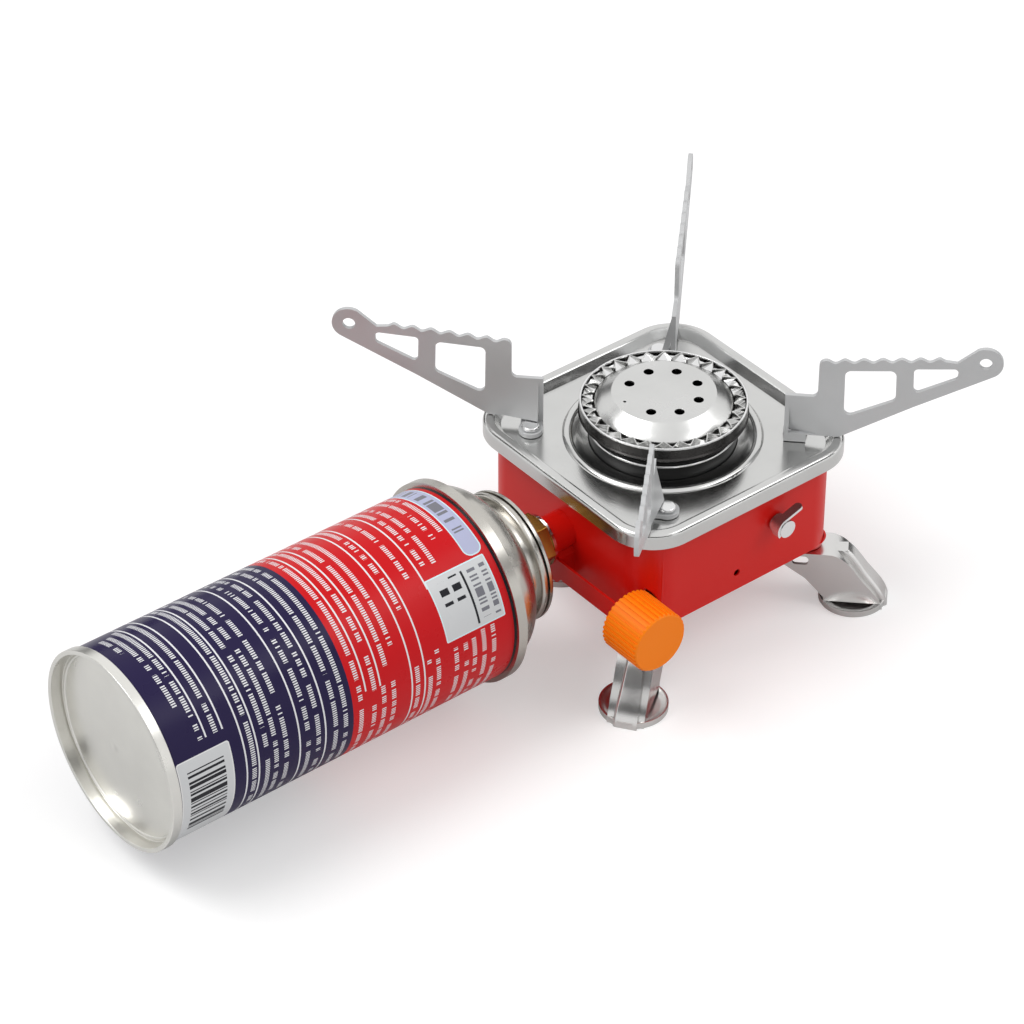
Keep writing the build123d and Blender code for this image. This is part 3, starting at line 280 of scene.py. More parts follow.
lever_finish, _ = metal_surface("lever_steel", 0.20, 0.04, shine=0.75)
facing = lever_finish.add("ShaderNodeSeparateXYZ")
lever_finish.wire(lever_finish.add("ShaderNodeNewGeometry").outputs["Normal"], facing.inputs["Vector"])
shades = lever_finish.add("ShaderNodeValToRGB")
for stop, position, shade in zip(shades.color_ramp.elements, (0.25, 0.75), (LEVER_BRIGHT, LEVER_DARK)):
    stop.position = position
    stop.color = (*shade, 1)
lever_finish.wire(facing.outputs["Z"], shades.inputs["Fac"])
lever_finish.colour(shades.outputs["Color"])
lever_steel = lever_finish.material
print("the lever's shades:", len(shades.color_ramp.elements))

# %% [markdown]
# Blackened steel, and painted shade in the trough
# The trough round the flames is bare steel at its bright upper lip, and below that it is painted nearly
# black, inside and out: on the outer wall this is steel that heat has blackened, and inside the trough
# it is painted shade. One comparison of the height splits the two, and a little noise makes the border
# uneven, as a scorched edge is.

# %% Blackened steel, and painted shade in the trough
CUP_LIP_Z = 0.0759
# The colour below the lip: heat-blackened steel on the outer wall, painted shade inside the trough.
SOOT_AND_SHADE = (0.055, 0.053, 0.052)
BARE_LIP = (0.78, 0.78, 0.78)

cup_finish = Finish("scorched_and_shaded_steel")
cup_height = cup_finish.add("ShaderNodeSeparateXYZ")
cup_finish.wire(cup_finish.place, cup_height.inputs["Vector"])
ragged = cup_finish.between(cup_finish.noise(400.0, 2.0), -0.0001, 0.0001)
lip = cup_finish.maths("GREATER_THAN", cup_finish.maths("ADD", cup_height.outputs["Z"], ragged), CUP_LIP_Z)
cup_finish.colour(cup_finish.mix(lip, SOOT_AND_SHADE, BARE_LIP))
cup_finish.rough(cup_finish.between(cup_finish.noise(150.0, 3.0), 0.22, 0.30))
cup_finish.set(Metallic=1.0)
scorched_and_shaded_steel = cup_finish.material
print("scorched below", round(CUP_LIP_Z * 1000, 1), "mm")

# %% [markdown]
# Paint, plastic and rubber
# The casing's red is a smooth enamel: a saturated colour with a plain gloss. The drum is a satin black
# enamel that heat has dulled in patches. The knob is a moulded orange plastic, and the seals are matt
# rubber.


# %% Paint, plastic and rubber
def painted(name, colour, dark, roughness, specular, peel):
    """Enamel, plastic or rubber: clouded between two shades, with a slight peel in the surface."""
    finish = Finish(name)
    finish.set(Specular_IOR_Level=specular, IOR=1.5)
    cloud = finish.noise(25.0, 2.0)
    finish.colour(finish.mix(finish.between(cloud, 0.0, 1.0), dark, colour))
    finish.rough(finish.between(finish.noise(60.0, 3.0), roughness - 0.03, roughness + 0.03))
    finish.bump(finish.noise(900.0, 1.0), peel)
    return finish.material


red_paint = painted("red_paint", (0.68, 0.008, 0.004), (0.65, 0.007, 0.004), 0.34, 0.28, 0.000002)
black_drum = painted("black_drum", (0.009, 0.009, 0.009), (0.006, 0.006, 0.006), 0.36, 0.18, 0.000004)
orange_plastic = painted("orange_plastic", (1.0, 0.235, 0.004), (0.98, 0.22, 0.003), 0.42, 0.18, 0.000003)
black_plastic = painted("black_plastic", (0.03, 0.03, 0.03), (0.022, 0.022, 0.022), 0.5, 0.4, 0.00001)
black_rubber = painted("black_rubber", (0.02, 0.02, 0.02), (0.015, 0.015, 0.015), 0.75, 0.3, 0.00001)
ceramic = painted("ceramic", (0.80, 0.76, 0.68), (0.72, 0.68, 0.60), 0.6, 0.3, 0.00001)
print("paints and plastics:", 6)

# %% [markdown]
# The can's print
# The can is printed tinplate: dark blue by its closed end, bright red by the stove. Everything on it
# is placed by two numbers: how far along the can it is, and how far round, both in metres. Both come
# from Object coordinates, so the print sits on the metal. The angle starts at the top and jumps from
# its highest to its lowest value underneath, which is where the print has its seam.

# %% The can's two ways of measuring
CAN_AXIS_Z = 0.0437
CAN_RADIUS = 0.033

can_finish = Finish("can_print")
can_finish.set(Specular_IOR_Level=0.16, IOR=1.5)
spot = can_finish.add("ShaderNodeSeparateXYZ")
can_finish.wire(can_finish.place, spot.inputs["Vector"])
along = spot.outputs["X"]
sideways = can_finish.maths("MULTIPLY", spot.outputs["Y"], -1.0)
upwards = can_finish.maths("SUBTRACT", spot.outputs["Z"], CAN_AXIS_Z)
turn = can_finish.maths("ARCTAN2", sideways, upwards)
around = can_finish.maths("MULTIPLY", turn, CAN_RADIUS)
label = can_finish.add("ShaderNodeCombineXYZ")
can_finish.wire(along, label.inputs["X"])
can_finish.wire(around, label.inputs["Y"])
label_place = label.outputs["Vector"]


def round_the_can(degrees):
    """How far round the can an angle from the top is, in metres."""
    return math.radians(degrees) * CAN_RADIUS


print("once round the can:", round(2 * math.pi * CAN_RADIUS, 4), "m")

# %% [markdown]
# Ground and rules
# The two grounds meet at one line. Thin white rules run round the can, some all the way and some from
# the seam over the back and the top, which stop at an angle on the front. A comparison of the distance
# from each rule's middle draws it.

# %% Ground and rules
CAN_SPLIT_X = -0.1517
PRINT_END_X = -0.0886
PRINT_ROUGHNESS = (0.26, 0.32)
RULE_HALF = 0.00028
FULL_RULES = (-0.1918, -0.1873, -0.1720, -0.1623, -0.1290, -0.1240)
STOPPED_RULES = ((-0.2030, 60), (-0.1970, 60), (-0.1463, 78), (-0.1408, 79), (-0.1143, 42))
RED_INK = (0.60, 0.006, 0.010)
BLUE_INK = (0.017, 0.011, 0.055)
WHITE_INK = (0.80, 0.80, 0.82)

ground = can_finish.mix(can_finish.maths("GREATER_THAN", along, CAN_SPLIT_X), BLUE_INK, RED_INK)
for rule_x in FULL_RULES:
    ground = can_finish.mix(can_finish.near(along, rule_x, RULE_HALF), ground, WHITE_INK)
for rule_x, last in STOPPED_RULES:
    before = can_finish.maths("LESS_THAN", around, round_the_can(last))
    on_rule = can_finish.maths("MULTIPLY", can_finish.near(along, rule_x, RULE_HALF), before)
    ground = can_finish.mix(on_rule, ground, WHITE_INK)
print("rules on the can:", len(FULL_RULES) + len(STOPPED_RULES))

# %% [markdown]
# Rows of ticks
# Where a can carries its small print, this one has rows of plain upright ticks with no letters in
# them. A colour ramp is a handy table: for each place along the can it gives whether there is a row,
# the angles between which it runs, and a number of its own. Here are the rows, each given by its
# place along the can and its first and last angle from the top.

# %% Rows of ticks
BLUE_ROWS = (
    (-0.2111, -26, -4),
    (-0.2084, -26, 39),
    (-0.2050, -30, 60),
    (-0.2000, -30, 60),
    (-0.1896, -60, 125),
    (-0.1846, -60, 125),
    (-0.1810, -60, 125),
    (-0.1774, -60, 125),
    (-0.1693, -60, 125),
    (-0.1655, -60, 125),
    (-0.1587, -60, 125),
    (-0.1548, -60, 125),
)
RED_ROWS = (
    (-0.1489, -60, 82),
    (-0.1436, -60, 80),
    (-0.1380, -60, 71),
    (-0.1340, -60, 60),
    (-0.1266, -60, 45),
    (-0.1190, -60, 32),
    (-0.1117, -60, 35),
    (-0.1080, -60, 31),
    (-0.1030, -60, 18),
    (-0.0992, -60, 16),
)
LOW_ROWS = (
    (-0.1489, 88, 130),
    (-0.1440, 88, 130),
    (-0.1400, 80, 130),
    (-0.1362, 80, 130),
    (-0.1270, 78, 130),
    (-0.1222, 78, 130),
    (-0.1190, 74, 130),
    (-0.1115, 79, 130),
    (-0.1080, 79, 130),
    (-0.1045, 78, 130),
    (-0.1008, 76, 130),
    (-0.0970, 76, 130),
)
print("rows:", len(BLUE_ROWS), len(RED_ROWS), len(LOW_ROWS))

# %% [markdown]
# Ticks on the rows
# White noise keeps or drops each tick, and coarser noise leaves longer gaps. Both are steps round the
# can only, so a tick stands upright from one side of its row to the other.

# %% Ticks on the rows
TICK_PITCH = 0.00078
TICK_SHARE = 0.55
TICKS_LEFT_OUT = 0.10
GROUP_LENGTH = 0.0021
GROUPS_LEFT_OUT = 0.12
ROW_HALF = 0.00085
ROW_TURN_FROM = -60.0
ROW_TURN_SPAN = 200.0
CAN_BACK_X = -0.220
CAN_SPAN_X = 0.140
LONGER_THAN_THE_CAN = 9.0

part_along = can_finish.maths("DIVIDE", can_finish.maths("SUBTRACT", along, CAN_BACK_X), CAN_SPAN_X)
part_round = can_finish.maths(
    "DIVIDE",
    can_finish.maths("SUBTRACT", around, round_the_can(ROW_TURN_FROM)),
    round_the_can(ROW_TURN_SPAN),
)


def stripes_round(pitch, seed):
    """Random numbers in steps round the can, which stay the same along it: upright stripes."""
    return can_finish.cells((part_along, LONGER_THAN_THE_CAN), (around, pitch), seed)


def ticks_on_rows(rows):
    """1 where a tick is printed, for rows given by place, first angle and last angle."""
    table = can_finish.add("ShaderNodeValToRGB")
    table.color_ramp.interpolation = "CONSTANT"
    can_finish.wire(part_along, table.inputs["Fac"])
    table.color_ramp.elements[0].color = (1, 0, 0, 0)
    table.color_ramp.elements.remove(table.color_ramp.elements[1])
    for number, (row_x, first, last) in enumerate(rows):
        start = table.color_ramp.elements.new((row_x - ROW_HALF - CAN_BACK_X) / CAN_SPAN_X)
        reach = [(angle - ROW_TURN_FROM) / ROW_TURN_SPAN for angle in (first, last)]
        start.color = (reach[0], reach[1], 1, (number + 1) / (len(rows) + 1))
        end = table.color_ramp.elements.new((row_x + ROW_HALF - CAN_BACK_X) / CAN_SPAN_X)
        end.color = (1, 0, 0, 0)
    limits = can_finish.add("ShaderNodeSeparateColor")
    can_finish.wire(table.outputs["Color"], limits.inputs["Color"])
    after = can_finish.maths("GREATER_THAN", part_round, limits.outputs["Red"])
    before = can_finish.maths("LESS_THAN", part_round, limits.outputs["Green"])
    ticks = stripes_round(TICK_PITCH, table.outputs["Alpha"])
    groups = stripes_round(GROUP_LENGTH, table.outputs["Alpha"])
    kept = can_finish.maths("GREATER_THAN", ticks, TICKS_LEFT_OUT)
    grouped = can_finish.maths("GREATER_THAN", groups, GROUPS_LEFT_OUT)
    place = can_finish.maths("FRACT", can_finish.maths("DIVIDE", around, TICK_PITCH))
    upright = can_finish.maths("LESS_THAN", place, TICK_SHARE)
    spaced = can_finish.maths("MULTIPLY", can_finish.maths("MULTIPLY", kept, upright), grouped)
    return can_finish.maths("MULTIPLY", spaced, can_finish.maths("MULTIPLY", after, before))


for rows in (BLUE_ROWS, RED_ROWS, LOW_ROWS):
    ground = can_finish.mix(ticks_on_rows(rows), ground, WHITE_INK)
print("ticks are", round(TICK_PITCH * 1000, 2), "mm apart")

# %% [markdown]
# Panels
# Three pale panels lie over the rows. Each is a rectangle with rounded corners, found from its
# distance field: how far a point is outside a smaller rectangle, less the corner's radius. Where that
# is under zero is the panel, and where it is close to zero is its thin pale edge. The stripes on them
# are random and encode nothing.


# %% Panels
PANEL_EDGE_HALF = 0.00022


def panel(ground_so_far, centre, half, radius, fill, border):
    """A rounded panel laid over the print, with a thin border; centre and half are along, round."""
    offset = can_finish.vectors("SUBTRACT", label_place, (centre[0], centre[1], 0))
    outside = can_finish.vectors(
        "MAXIMUM",
        can_finish.vectors(
            "SUBTRACT",
            can_finish.vectors("ABSOLUTE", offset),
            (half[0] - radius, half[1] - radius, 0),
        ),
        (0, 0, 0),
    )
    distance = can_finish.maths("SUBTRACT", can_finish.vector_length(outside), radius)
    filled = can_finish.mix(can_finish.maths("LESS_THAN", distance, 0.0), ground_so_far, fill)
    return can_finish.mix(can_finish.near(distance, 0.0, PANEL_EDGE_HALF), filled, border)


def box_on_can(first_x, last_x, first_angle, last_angle):
    """Centre and half size of a patch between two places along and two angles round."""
    near_edge = round_the_can(first_angle)
    far_edge = round_the_can(last_angle)
    centre = ((first_x + last_x) / 2, (near_edge + far_edge) / 2)
    return centre, ((last_x - first_x) / 2, (far_edge - near_edge) / 2)


BLACK_INK = (0.02, 0.02, 0.025)
GREY_INK = (0.20, 0.20, 0.23)
PALE_INK = (0.66, 0.67, 0.68)
LILAC_INK = (0.46, 0.48, 0.66)
TAG_EDGE = (0.62, 0.82, 0.88)
SQUARE_EDGE = (0.70, 0.86, 0.90)
STRIPED_EDGE = (0.80, 0.80, 0.80)
SOLID_PRINT = -1.0
TAG = box_on_can(-0.0967, -0.0903, -80, 36)
SQUARE = box_on_can(-0.1140, -0.0914, 38, 74)
STRIPED = box_on_can(-0.2154, -0.1965, 67, 140)

ground = panel(ground, *TAG, 0.0026, LILAC_INK, TAG_EDGE)
ground = panel(ground, *SQUARE, 0.0003, PALE_INK, SQUARE_EDGE)
ground = panel(ground, *STRIPED, 0.0008, PALE_INK, STRIPED_EDGE)

fine = stripes_round(0.0006, 0.37)
coarse = stripes_round(0.0011, 0.71)
bars = stripes_round(0.00042, 0.13)
for pattern, share, patch, ink in (
    (fine, 0.45, box_on_can(-0.0955, -0.0917, -60, 22), GREY_INK),
    (fine, 0.45, box_on_can(-0.0945, -0.0924, 41, 71), GREY_INK),
    (fine, 0.50, box_on_can(-0.0992, -0.0962, 42, 70), GREY_INK),
    (coarse, 0.50, box_on_can(-0.1062, -0.1030, 41, 72), BLACK_INK),
    (coarse, 0.50, box_on_can(-0.1110, -0.1078, 42, 62), BLACK_INK),
    (coarse, SOLID_PRINT, box_on_can(-0.1016, -0.1008, 41, 72), BLACK_INK),
    (bars, 0.52, box_on_can(-0.2125, -0.1992, 73, 116), BLACK_INK),
):
    marks = can_finish.maths("GREATER_THAN", pattern, share)
    (middle_x, middle_round), (half_x, half_round) = patch
    printed = can_finish.maths(
        "MULTIPLY",
        can_finish.near(along, middle_x, half_x),
        can_finish.near(around, middle_round, half_round),
    )
    ground = can_finish.mix(can_finish.maths("MULTIPLY", marks, printed), ground, ink)
ground = can_finish.mix(can_finish.maths("GREATER_THAN", along, PRINT_END_X), ground, BLACK_INK)
can_finish.colour(ground)
can_finish.rough(can_finish.between(can_finish.noise(90.0, 3.0), *PRINT_ROUGHNESS))
can_print = can_finish.material
print("panels on the can:", 3)

# %% [markdown]
# Rounded copies of the pressed parts
# A CAD node is loose triangles, so light breaks on every one of them. A merged copy can be shaded
# smoothly and keeps its hard edges by their angle. The larger ones take a small bevel too, which is
# what catches the light along the edge of a real pressing, and the rest have a bevel of zero. The copy
# stands for its node and rides on the same body.

# %% Rounded copies of the pressed parts
SMOOTH_BELOW = math.radians(28)
BEVEL_ABOVE = math.radians(40)
MERGED_WITHIN = 0.000002


def new_object(name, mesh):
    """Puts a mesh into the scene as an object at the origin."""
    piece = bpy.data.objects.new(name, mesh)
    bpy.context.scene.collection.objects.link(piece)
    return piece


def finish_shading(shape):
    """Shades a bmesh smoothly, with hard edges where it turns sharply."""
    for face in shape.faces:
        face.smooth = True
    for edge in shape.edges:
        if len(edge.link_faces) == 2:
            edge.smooth = edge.calc_face_angle(0.0) < SMOOTH_BELOW
        else:
            edge.smooth = False


def rounded(node, material, bevel=0.0, reshape=None):
    """A merged, smoothly shaded copy of a CAD node that stands for it."""
    shape = bmesh.new()
    shape.from_mesh(frame["nodes"][node].data)
    bmesh.ops.remove_doubles(shape, verts=shape.verts, dist=MERGED_WITHIN)
    if reshape:
        reshape(shape)
        bmesh.ops.remove_doubles(shape, verts=shape.verts, dist=MERGED_WITHIN)
    finish_shading(shape)
    mesh = bpy.data.meshes.new(node + "_mesh")
    shape.to_mesh(mesh)
    shape.free()
    mesh.materials.clear()
    mesh.materials.append(material)
    piece = new_object(node + "_finished", mesh)
    if bevel:
        edge = piece.modifiers.new("edge", "BEVEL")
        edge.width = bevel
        edge.segments = 2
        edge.limit_method = "ANGLE"
        edge.angle_limit = BEVEL_ABOVE
        edge.harden_normals = True
        edge.use_clamp_overlap = True
    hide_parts(node)
    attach(piece, frame["nodes"][node]["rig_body"])


CORNERS = ("back", "left", "front", "right")
FINISHES = {
    "top_plate": (stainless_plate, 0.0),
    "casing": (red_paint, 0.00015),
    "base_plate": (red_paint, 0.00015),
    "burner_bowl": (black_drum, 0.0002),
    "burner_collar": (burner_steel, 0.00015),
    "burner_clamp_ring": (bright_steel, 0.0),
    "burner_cup": (scorched_and_shaded_steel, 0.00012),
    "flame_strip": (burner_steel, 0.0),
    "burner_cap": (burner_steel, 0.00006),
    "support_rivets": (bright_steel, 0.0),
    "leg_rivets": (bright_steel, 0.0),
    "leg_washers": (bright_steel, 0.0),
    "gas_valve": (red_paint, 0.0002),
    "valve_screws": (bright_steel, 0.0),
    "inlet_nut": (brass, 0.0002),
    "inlet_washer": (bright_steel, 0.0),
    "can_adapter": (tinplate, 0.0),
    "inlet_probe": (brass, 0.0),
    "inlet_seal": (black_rubber, 0.0),
    "spindle_guard": (red_paint, 0.00015),
    "gas_jet": (brass, 0.0),
    "mixing_tube": (burner_steel, 0.0),
    "piezo_igniter": (black_plastic, 0.0),
    "piezo_bracket": (bright_steel, 0.0),
    "electrode_insulator": (ceramic, 0.0),
    "spark_electrode": (bright_steel, 0.0),
    "valve_spindle": (bright_steel, 0.0),
    "control_knob": (orange_plastic, 0.00012),
    "ignition_lever": (lever_steel, 0.0001),
    "ignition_shaft": (lever_steel, 0.0002),
    "ignition_cam": (black_plastic, 0.0),
    "piezo_plunger": (bright_steel, 0.0),
    "can_body": (can_print, 0.0),
    "can_bottom": (end_tin, 0.0003),
    "can_dome": (tinplate, 0.0),
    "can_valve_cup": (tinplate, 0.0),
    "can_stem": (brass, 0.0),
    "can_stem_seal": (black_rubber, 0.0),
}
for corner in CORNERS:
    FINISHES["leg_" + corner] = (leg_steel, 0.0)
for node, (material, bevel) in FINISHES.items():
    rounded(node, material, bevel)
print("finished pieces:", len(FINISHES))

# %% [markdown]
# Bead on the can's end
# A stiffening bead runs round the foot of the recess in the can's end. A small circle is spun once
# round the can's axis, half sunk in the end, so only its rounded back shows.

# %% Bead on the can's end
BEAD_R = 0.0307
BEAD_X = -0.2150
BEAD_SIZE = 0.0006
BEAD_STEPS = 128
CAN_AXIS = (0, 0, CAN_AXIS_Z)

bead = bmesh.new()
bmesh.ops.create_circle(bead, segments=12, radius=BEAD_SIZE)
bmesh.ops.rotate(bead, cent=(0, 0, 0), matrix=Matrix.Rotation(math.pi / 2, 3, "X"), verts=bead.verts)
bmesh.ops.translate(bead, vec=(BEAD_X, 0, CAN_AXIS_Z + BEAD_R), verts=bead.verts)
bmesh.ops.spin(
    bead,
    geom=list(bead.verts) + list(bead.edges),
    axis=(1, 0, 0),
    cent=CAN_AXIS,
    angle=2 * math.pi,
    steps=BEAD_STEPS,
    use_merge=True,
)
bmesh.ops.recalc_face_normals(bead, faces=bead.faces)
for face in bead.faces:
    face.smooth = True
bead_mesh = bpy.data.meshes.new("can_end_bead")
bead.to_mesh(bead_mesh)
print("faces in the bead:", len(bead.faces))
bead.free()
bead_mesh.materials.append(end_tin)
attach(new_object("can_end_bead", bead_mesh), "can")

# %% [markdown]
# Pot supports
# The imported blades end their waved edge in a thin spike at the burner's side, because the curve that
# draws the edge overshoots there. A pressing is round at that corner, so these copies are mended: each
# is turned until its blade lies along X, the points of that last stretch are drawn onto the wave and
# onto a quarter circle, and it is turned back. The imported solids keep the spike.

# %% Pot supports
CREST_R = 0.0520
CREST_Z = 0.0962
WAVE_PITCH = 0.0060
WAVE_DEPTH = 0.0013
WAVE_CLIMB = 0.0034 / 0.0360
EDGE_R = 0.0498
SHOULDER = CREST_R - EDGE_R
SPLIT_R = 0.05025
SPLIT_Z = 0.0990
MENDED_TO_R = 0.0575
BLADE_BEVEL = 0.00015
SUPPORT_AZIMUTHS = {"back": 45, "left": 135, "front": 225, "right": 315}


def wave_height(radius):
    """Height of the waved edge at a distance from the burner's axis."""
    phase = 2 * math.pi * (radius - CREST_R) / WAVE_PITCH
    return CREST_Z + WAVE_CLIMB * (radius - CREST_R) - WAVE_DEPTH * (1 - math.cos(phase)) / 2


def shoulder_point(share):
    """A point of the quarter circle, from the upright edge at 0 to the crest at 1."""
    angle = share * math.pi / 2
    return CREST_R - SHOULDER * math.cos(angle), CREST_Z - SHOULDER * (1 - math.sin(angle))


def round_shoulder(azimuth):
    """A reshaping that rounds the inner end of the waved edge of the support at an azimuth."""

    def reshape(shape):
        """Points beyond SPLIT_R go onto the upper half of the arc, and the others onto the lower."""
        turned = Matrix.Rotation(-math.radians(azimuth), 4, "Z")
        bmesh.ops.transform(shape, matrix=turned, verts=shape.verts)
        for vert in shape.verts:
            radius, height = vert.co.x, vert.co.z
            if height < CREST_Z - SHOULDER or radius > MENDED_TO_R:
                continue
            if radius > CREST_R:
                vert.co.z = wave_height(radius)
            elif radius > SPLIT_R:
                share = 0.5 + 0.5 * (radius - SPLIT_R) / (CREST_R - SPLIT_R)
                vert.co.x, vert.co.z = shoulder_point(share)
            else:
                share = 0.5 * (height - CREST_Z + SHOULDER) / (SPLIT_Z - CREST_Z + SHOULDER)
                vert.co.x, vert.co.z = shoulder_point(share)
        bmesh.ops.transform(shape, matrix=turned.inverted(), verts=shape.verts)

    return reshape


for corner, azimuth in SUPPORT_AZIMUTHS.items():
    rounded("pot_support_" + corner, support_steel, BLADE_BEVEL, round_shoulder(azimuth))
print("pot supports:", len(SUPPORT_AZIMUTHS))

# %% [markdown]
# Crown of the flame strip
# The folds of the ribbon are pinched at the top, which closes each fold on its inner side with a small
# sloping facet. A second, deeper facet lies in each hollow between two folds. One facet is a
# triangle, and a spin repeats it for every fold. Each then gets a slightly different slope, as bent
# folds never quite match, and so the ring glitters.

# %% Crown of the flame strip
FOLDS = 29
FOLD_OUTER_R = 0.02675
FOLD_INNER_R = 0.02345
FOLD_TOP_Z = 0.07645
FACET_DROP = 0.0012
FACET_INSET = 0.0001
HOLLOW_DROP = 0.0022
HOLLOW_RIM_DROP = 0.0011
FACET_JITTER = 0.0008
FACET_THICKNESS = 0.0002

crown = bmesh.new()
half_fold = math.pi / FOLDS


def ring_of_facets(apex_r, base_r, apex_z, base_z, turn):
    """One triangle per fold, from an apex to a base half a fold either side of it."""
    corners = [crown.verts.new((apex_r * math.cos(turn), apex_r * math.sin(turn), apex_z))]
    for side in (1, -1):
        angle = turn + side * half_fold
        corners.append(crown.verts.new((base_r * math.cos(angle), base_r * math.sin(angle), base_z)))
    facet = crown.faces.new(corners)
    bmesh.ops.spin(
        crown,
        geom=[facet] + list(facet.edges) + list(facet.verts),
        axis=(0, 0, 1),
        cent=(0, 0, 0),
        angle=2 * math.pi,
        steps=FOLDS,
        use_duplicate=True,
    )
    bmesh.ops.delete(crown, geom=[facet], context="FACES")


ring_of_facets(FOLD_OUTER_R, FOLD_INNER_R, FOLD_TOP_Z - FACET_INSET, FOLD_TOP_Z - FACET_DROP, 0)
hollow_rim_z = FOLD_TOP_Z - HOLLOW_RIM_DROP
ring_of_facets(FOLD_INNER_R, FOLD_OUTER_R, FOLD_TOP_Z - HOLLOW_DROP, hollow_rim_z, half_fold)
jitter = random.Random(7)
for vert in crown.verts:
    if vert.co.z < FOLD_TOP_Z - FACET_DROP / 2:
        vert.co.z -= jitter.uniform(0, FACET_JITTER)
bmesh.ops.recalc_face_normals(crown, faces=crown.faces)
for face in crown.faces:
    if face.normal.z < 0:
        face.normal_flip()
crown_mesh = bpy.data.meshes.new("flame_strip_crown")
crown.to_mesh(crown_mesh)
print("facets in the crown:", len(crown.faces))
crown.free()
crown_mesh.materials.append(bright_steel)
crown_piece = new_object("flame_strip_crown", crown_mesh)
crown_sheet = crown_piece.modifiers.new("sheet", "SOLIDIFY")
crown_sheet.thickness = FACET_THICKNESS
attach(crown_piece, "stove")

# %% [markdown]
# Background
# The world is white where the camera, a reflection or a refraction sees it, and dimmer where it lights
# the stove, so the background stays clean while the lamps shape the metal.

# %% Background
AMBIENT_STRENGTH = 0.55

world = bpy.data.worlds.new("studio")
bpy.context.scene.world = world
world.use_nodes = True
sky = world.node_tree.nodes
sky.clear()
path = sky.new("ShaderNodeLightPath")
seen_or_mirrored = sky.new("ShaderNodeMath")
seen_or_mirrored.operation = "MAXIMUM"
shown = sky.new("ShaderNodeMath")
shown.operation = "MAXIMUM"
ambient = sky.new("ShaderNodeBackground")
ambient.inputs["Color"].default_value = (1, 1, 1, 1)
ambient.inputs["Strength"].default_value = AMBIENT_STRENGTH
white = sky.new("ShaderNodeBackground")
white.inputs["Color"].default_value = (1, 1, 1, 1)
white.inputs["Strength"].default_value = 1.0
choice = sky.new("ShaderNodeMixShader")
surroundings = sky.new("ShaderNodeOutputWorld")
wires = world.node_tree.links
wires.new(path.outputs["Is Camera Ray"], seen_or_mirrored.inputs[0])
wires.new(path.outputs["Is Glossy Ray"], seen_or_mirrored.inputs[1])
wires.new(seen_or_mirrored.outputs[0], shown.inputs[0])
wires.new(path.outputs["Is Transmission Ray"], shown.inputs[1])
wires.new(shown.outputs[0], choice.inputs[0])
wires.new(ambient.outputs[0], choice.inputs[1])
wires.new(white.outputs[0], choice.inputs[2])
wires.new(choice.outputs[0], surroundings.inputs["Surface"])
print("ambient strength:", AMBIENT_STRENGTH)

# %% [markdown]
# Lamps
# Two soft lamps stand high on either side, one a little stronger than the other, so a face that turns
# away from one still takes light from the other.

# %% Lamps
LAMP_AIM = (-0.05, 0, 0.05)
LAMPS = (("key_light", (-0.9, 0.5, 1.5), 1.0, 15), ("fill_light", (0.9, -0.9, 1.2), 1.2, 9))


def lamp(name, place, aim, size, power):
    """A square soft light at place that faces aim."""
    data = bpy.data.lights.new(name, "AREA")
    data.size = size
    data.energy = power
    light = bpy.data.objects.new(name, data)
    light.location = place
    light.rotation_euler = (Vector(aim) - Vector(place)).to_track_quat("-Z", "Y").to_euler()
    bpy.context.scene.collection.objects.link(light)


for lamp_name, lamp_place, lamp_size, lamp_power in LAMPS:
    lamp(lamp_name, lamp_place, LAMP_AIM, lamp_size, lamp_power)
print("lamps:", len(LAMPS))

# %% [markdown]
# Floor
# The stove stands on a plain pale floor. The floor glows faintly for the camera alone, which brings it
# up to the background's white and leaves the shadows on it.

# %% Floor
FLOOR_SIZE = 6.0
FLOOR_GREY = (0.72, 0.72, 0.72)
FLOOR_GLOW = 0.35

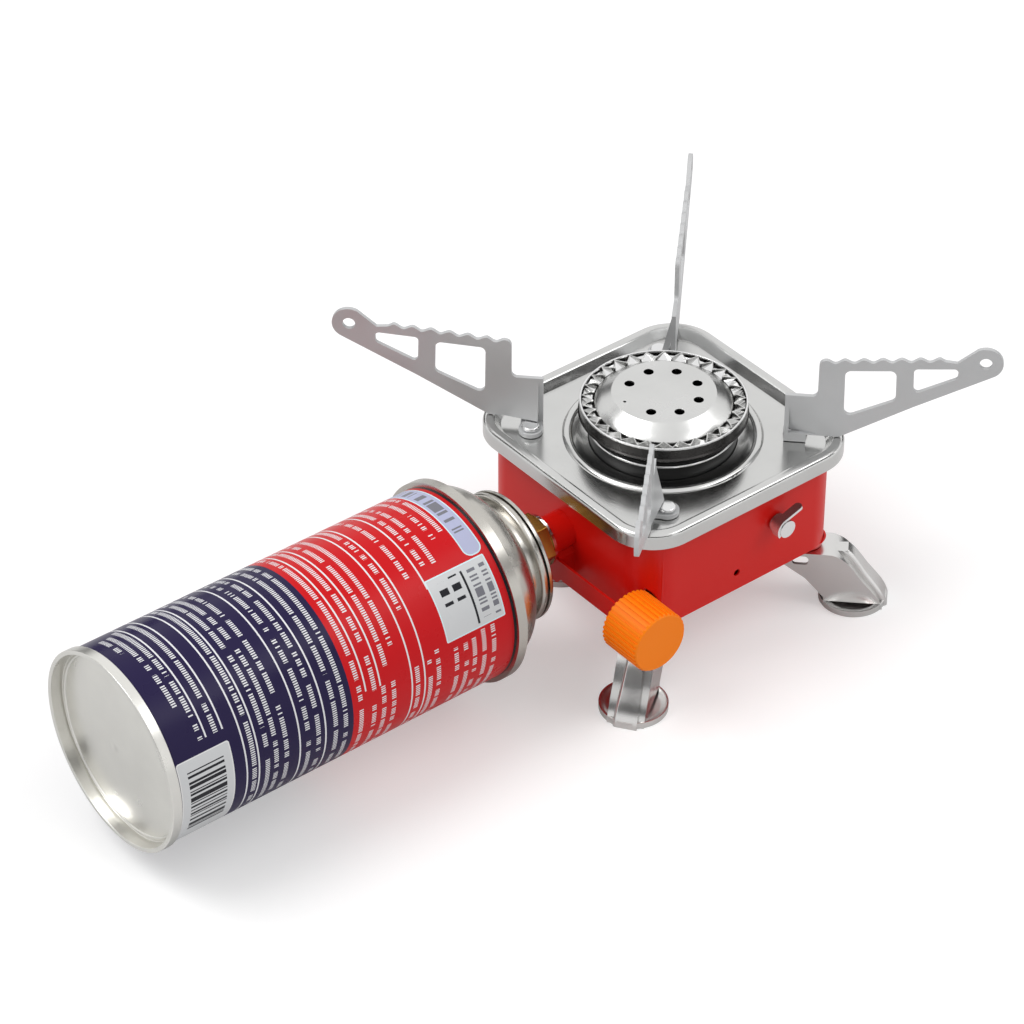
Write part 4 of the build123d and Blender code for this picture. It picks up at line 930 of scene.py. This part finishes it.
floor_shape = bmesh.new()
bmesh.ops.create_grid(floor_shape, x_segments=1, y_segments=1, size=FLOOR_SIZE)
floor_mesh = bpy.data.meshes.new("floor")
floor_shape.to_mesh(floor_mesh)
floor_shape.free()
floor = new_object("floor", floor_mesh)
floor_finish = Finish("pale_floor")
floor_finish.colour(FLOOR_GREY)
floor_finish.set(Roughness=0.9, Specular_IOR_Level=0.1)
floor_path = floor_finish.add("ShaderNodeLightPath")
glow = floor_finish.maths("MULTIPLY", floor_path.outputs["Is Camera Ray"], FLOOR_GLOW)
floor_finish.wire(glow, floor_finish.shader.inputs["Emission Strength"])
floor_finish.shader.inputs["Emission Color"].default_value = (1, 1, 1, 1)
floor_mesh.materials.append(floor_finish.material)
print("floor's glow:", FLOOR_GLOW)

# %% [markdown]
# Dark cards
# A polished metal shows only what it mirrors, and in an all-white room it looks like paper. As in a
# studio, dark cards stand round the stove where their reflections draw the dark lines along rims and
# the shaded sides of the burner's cap. The places suit the main camera. The cards are
# seen only in reflections, so they neither shade the stove nor come into the picture.


# %% Dark cards
CARD_DISTANCE = 0.9
CARD_BLACK = (0.015, 0.015, 0.015)
CARDS = (
    ("card_by_camera", 231, 27, 1.3, 0.26),
    ("card_right", 14, 8, 0.5, 0.34),
    ("card_left", 89, 8, 0.5, 0.34),
    ("card_rim_right", 309, 37, 0.6, 0.34),
    ("card_rim_left", 135, 37, 0.6, 0.34),
)


def dark_card(name, azimuth, elevation, width, height):
    """A dark upright card that faces the stove from an azimuth and an elevation in degrees."""
    turn = math.radians(azimuth)
    lift = math.radians(elevation)
    towards = Vector(
        (math.cos(turn) * math.cos(lift), math.sin(turn) * math.cos(lift), math.sin(lift))
    )
    shape = bmesh.new()
    bmesh.ops.create_grid(shape, x_segments=1, y_segments=1, size=0.5)
    bmesh.ops.scale(shape, vec=(width, height, 1), verts=shape.verts)
    turned = (-towards).to_track_quat("Z", "Y").to_matrix().to_4x4()
    placed = Matrix.Translation(CARD_DISTANCE * towards) @ turned
    bmesh.ops.transform(shape, matrix=placed, verts=shape.verts)
    mesh = bpy.data.meshes.new(name)
    shape.to_mesh(mesh)
    shape.free()
    mesh.materials.append(card_finish.material)
    card = new_object(name, mesh)
    card.visible_camera = False
    card.visible_diffuse = False
    card.visible_transmission = False
    card.visible_shadow = False


card_finish = Finish("dark_card")
card_finish.colour(CARD_BLACK)
card_finish.set(Roughness=1.0, Specular_IOR_Level=0.0)
for card_numbers in CARDS:
    dark_card(*card_numbers)
print("cards:", len(CARDS))

# %% [markdown]
# View settings
# Standard keeps colours as they are written.

# %% View settings
bpy.context.scene.view_settings.view_transform = "Standard"
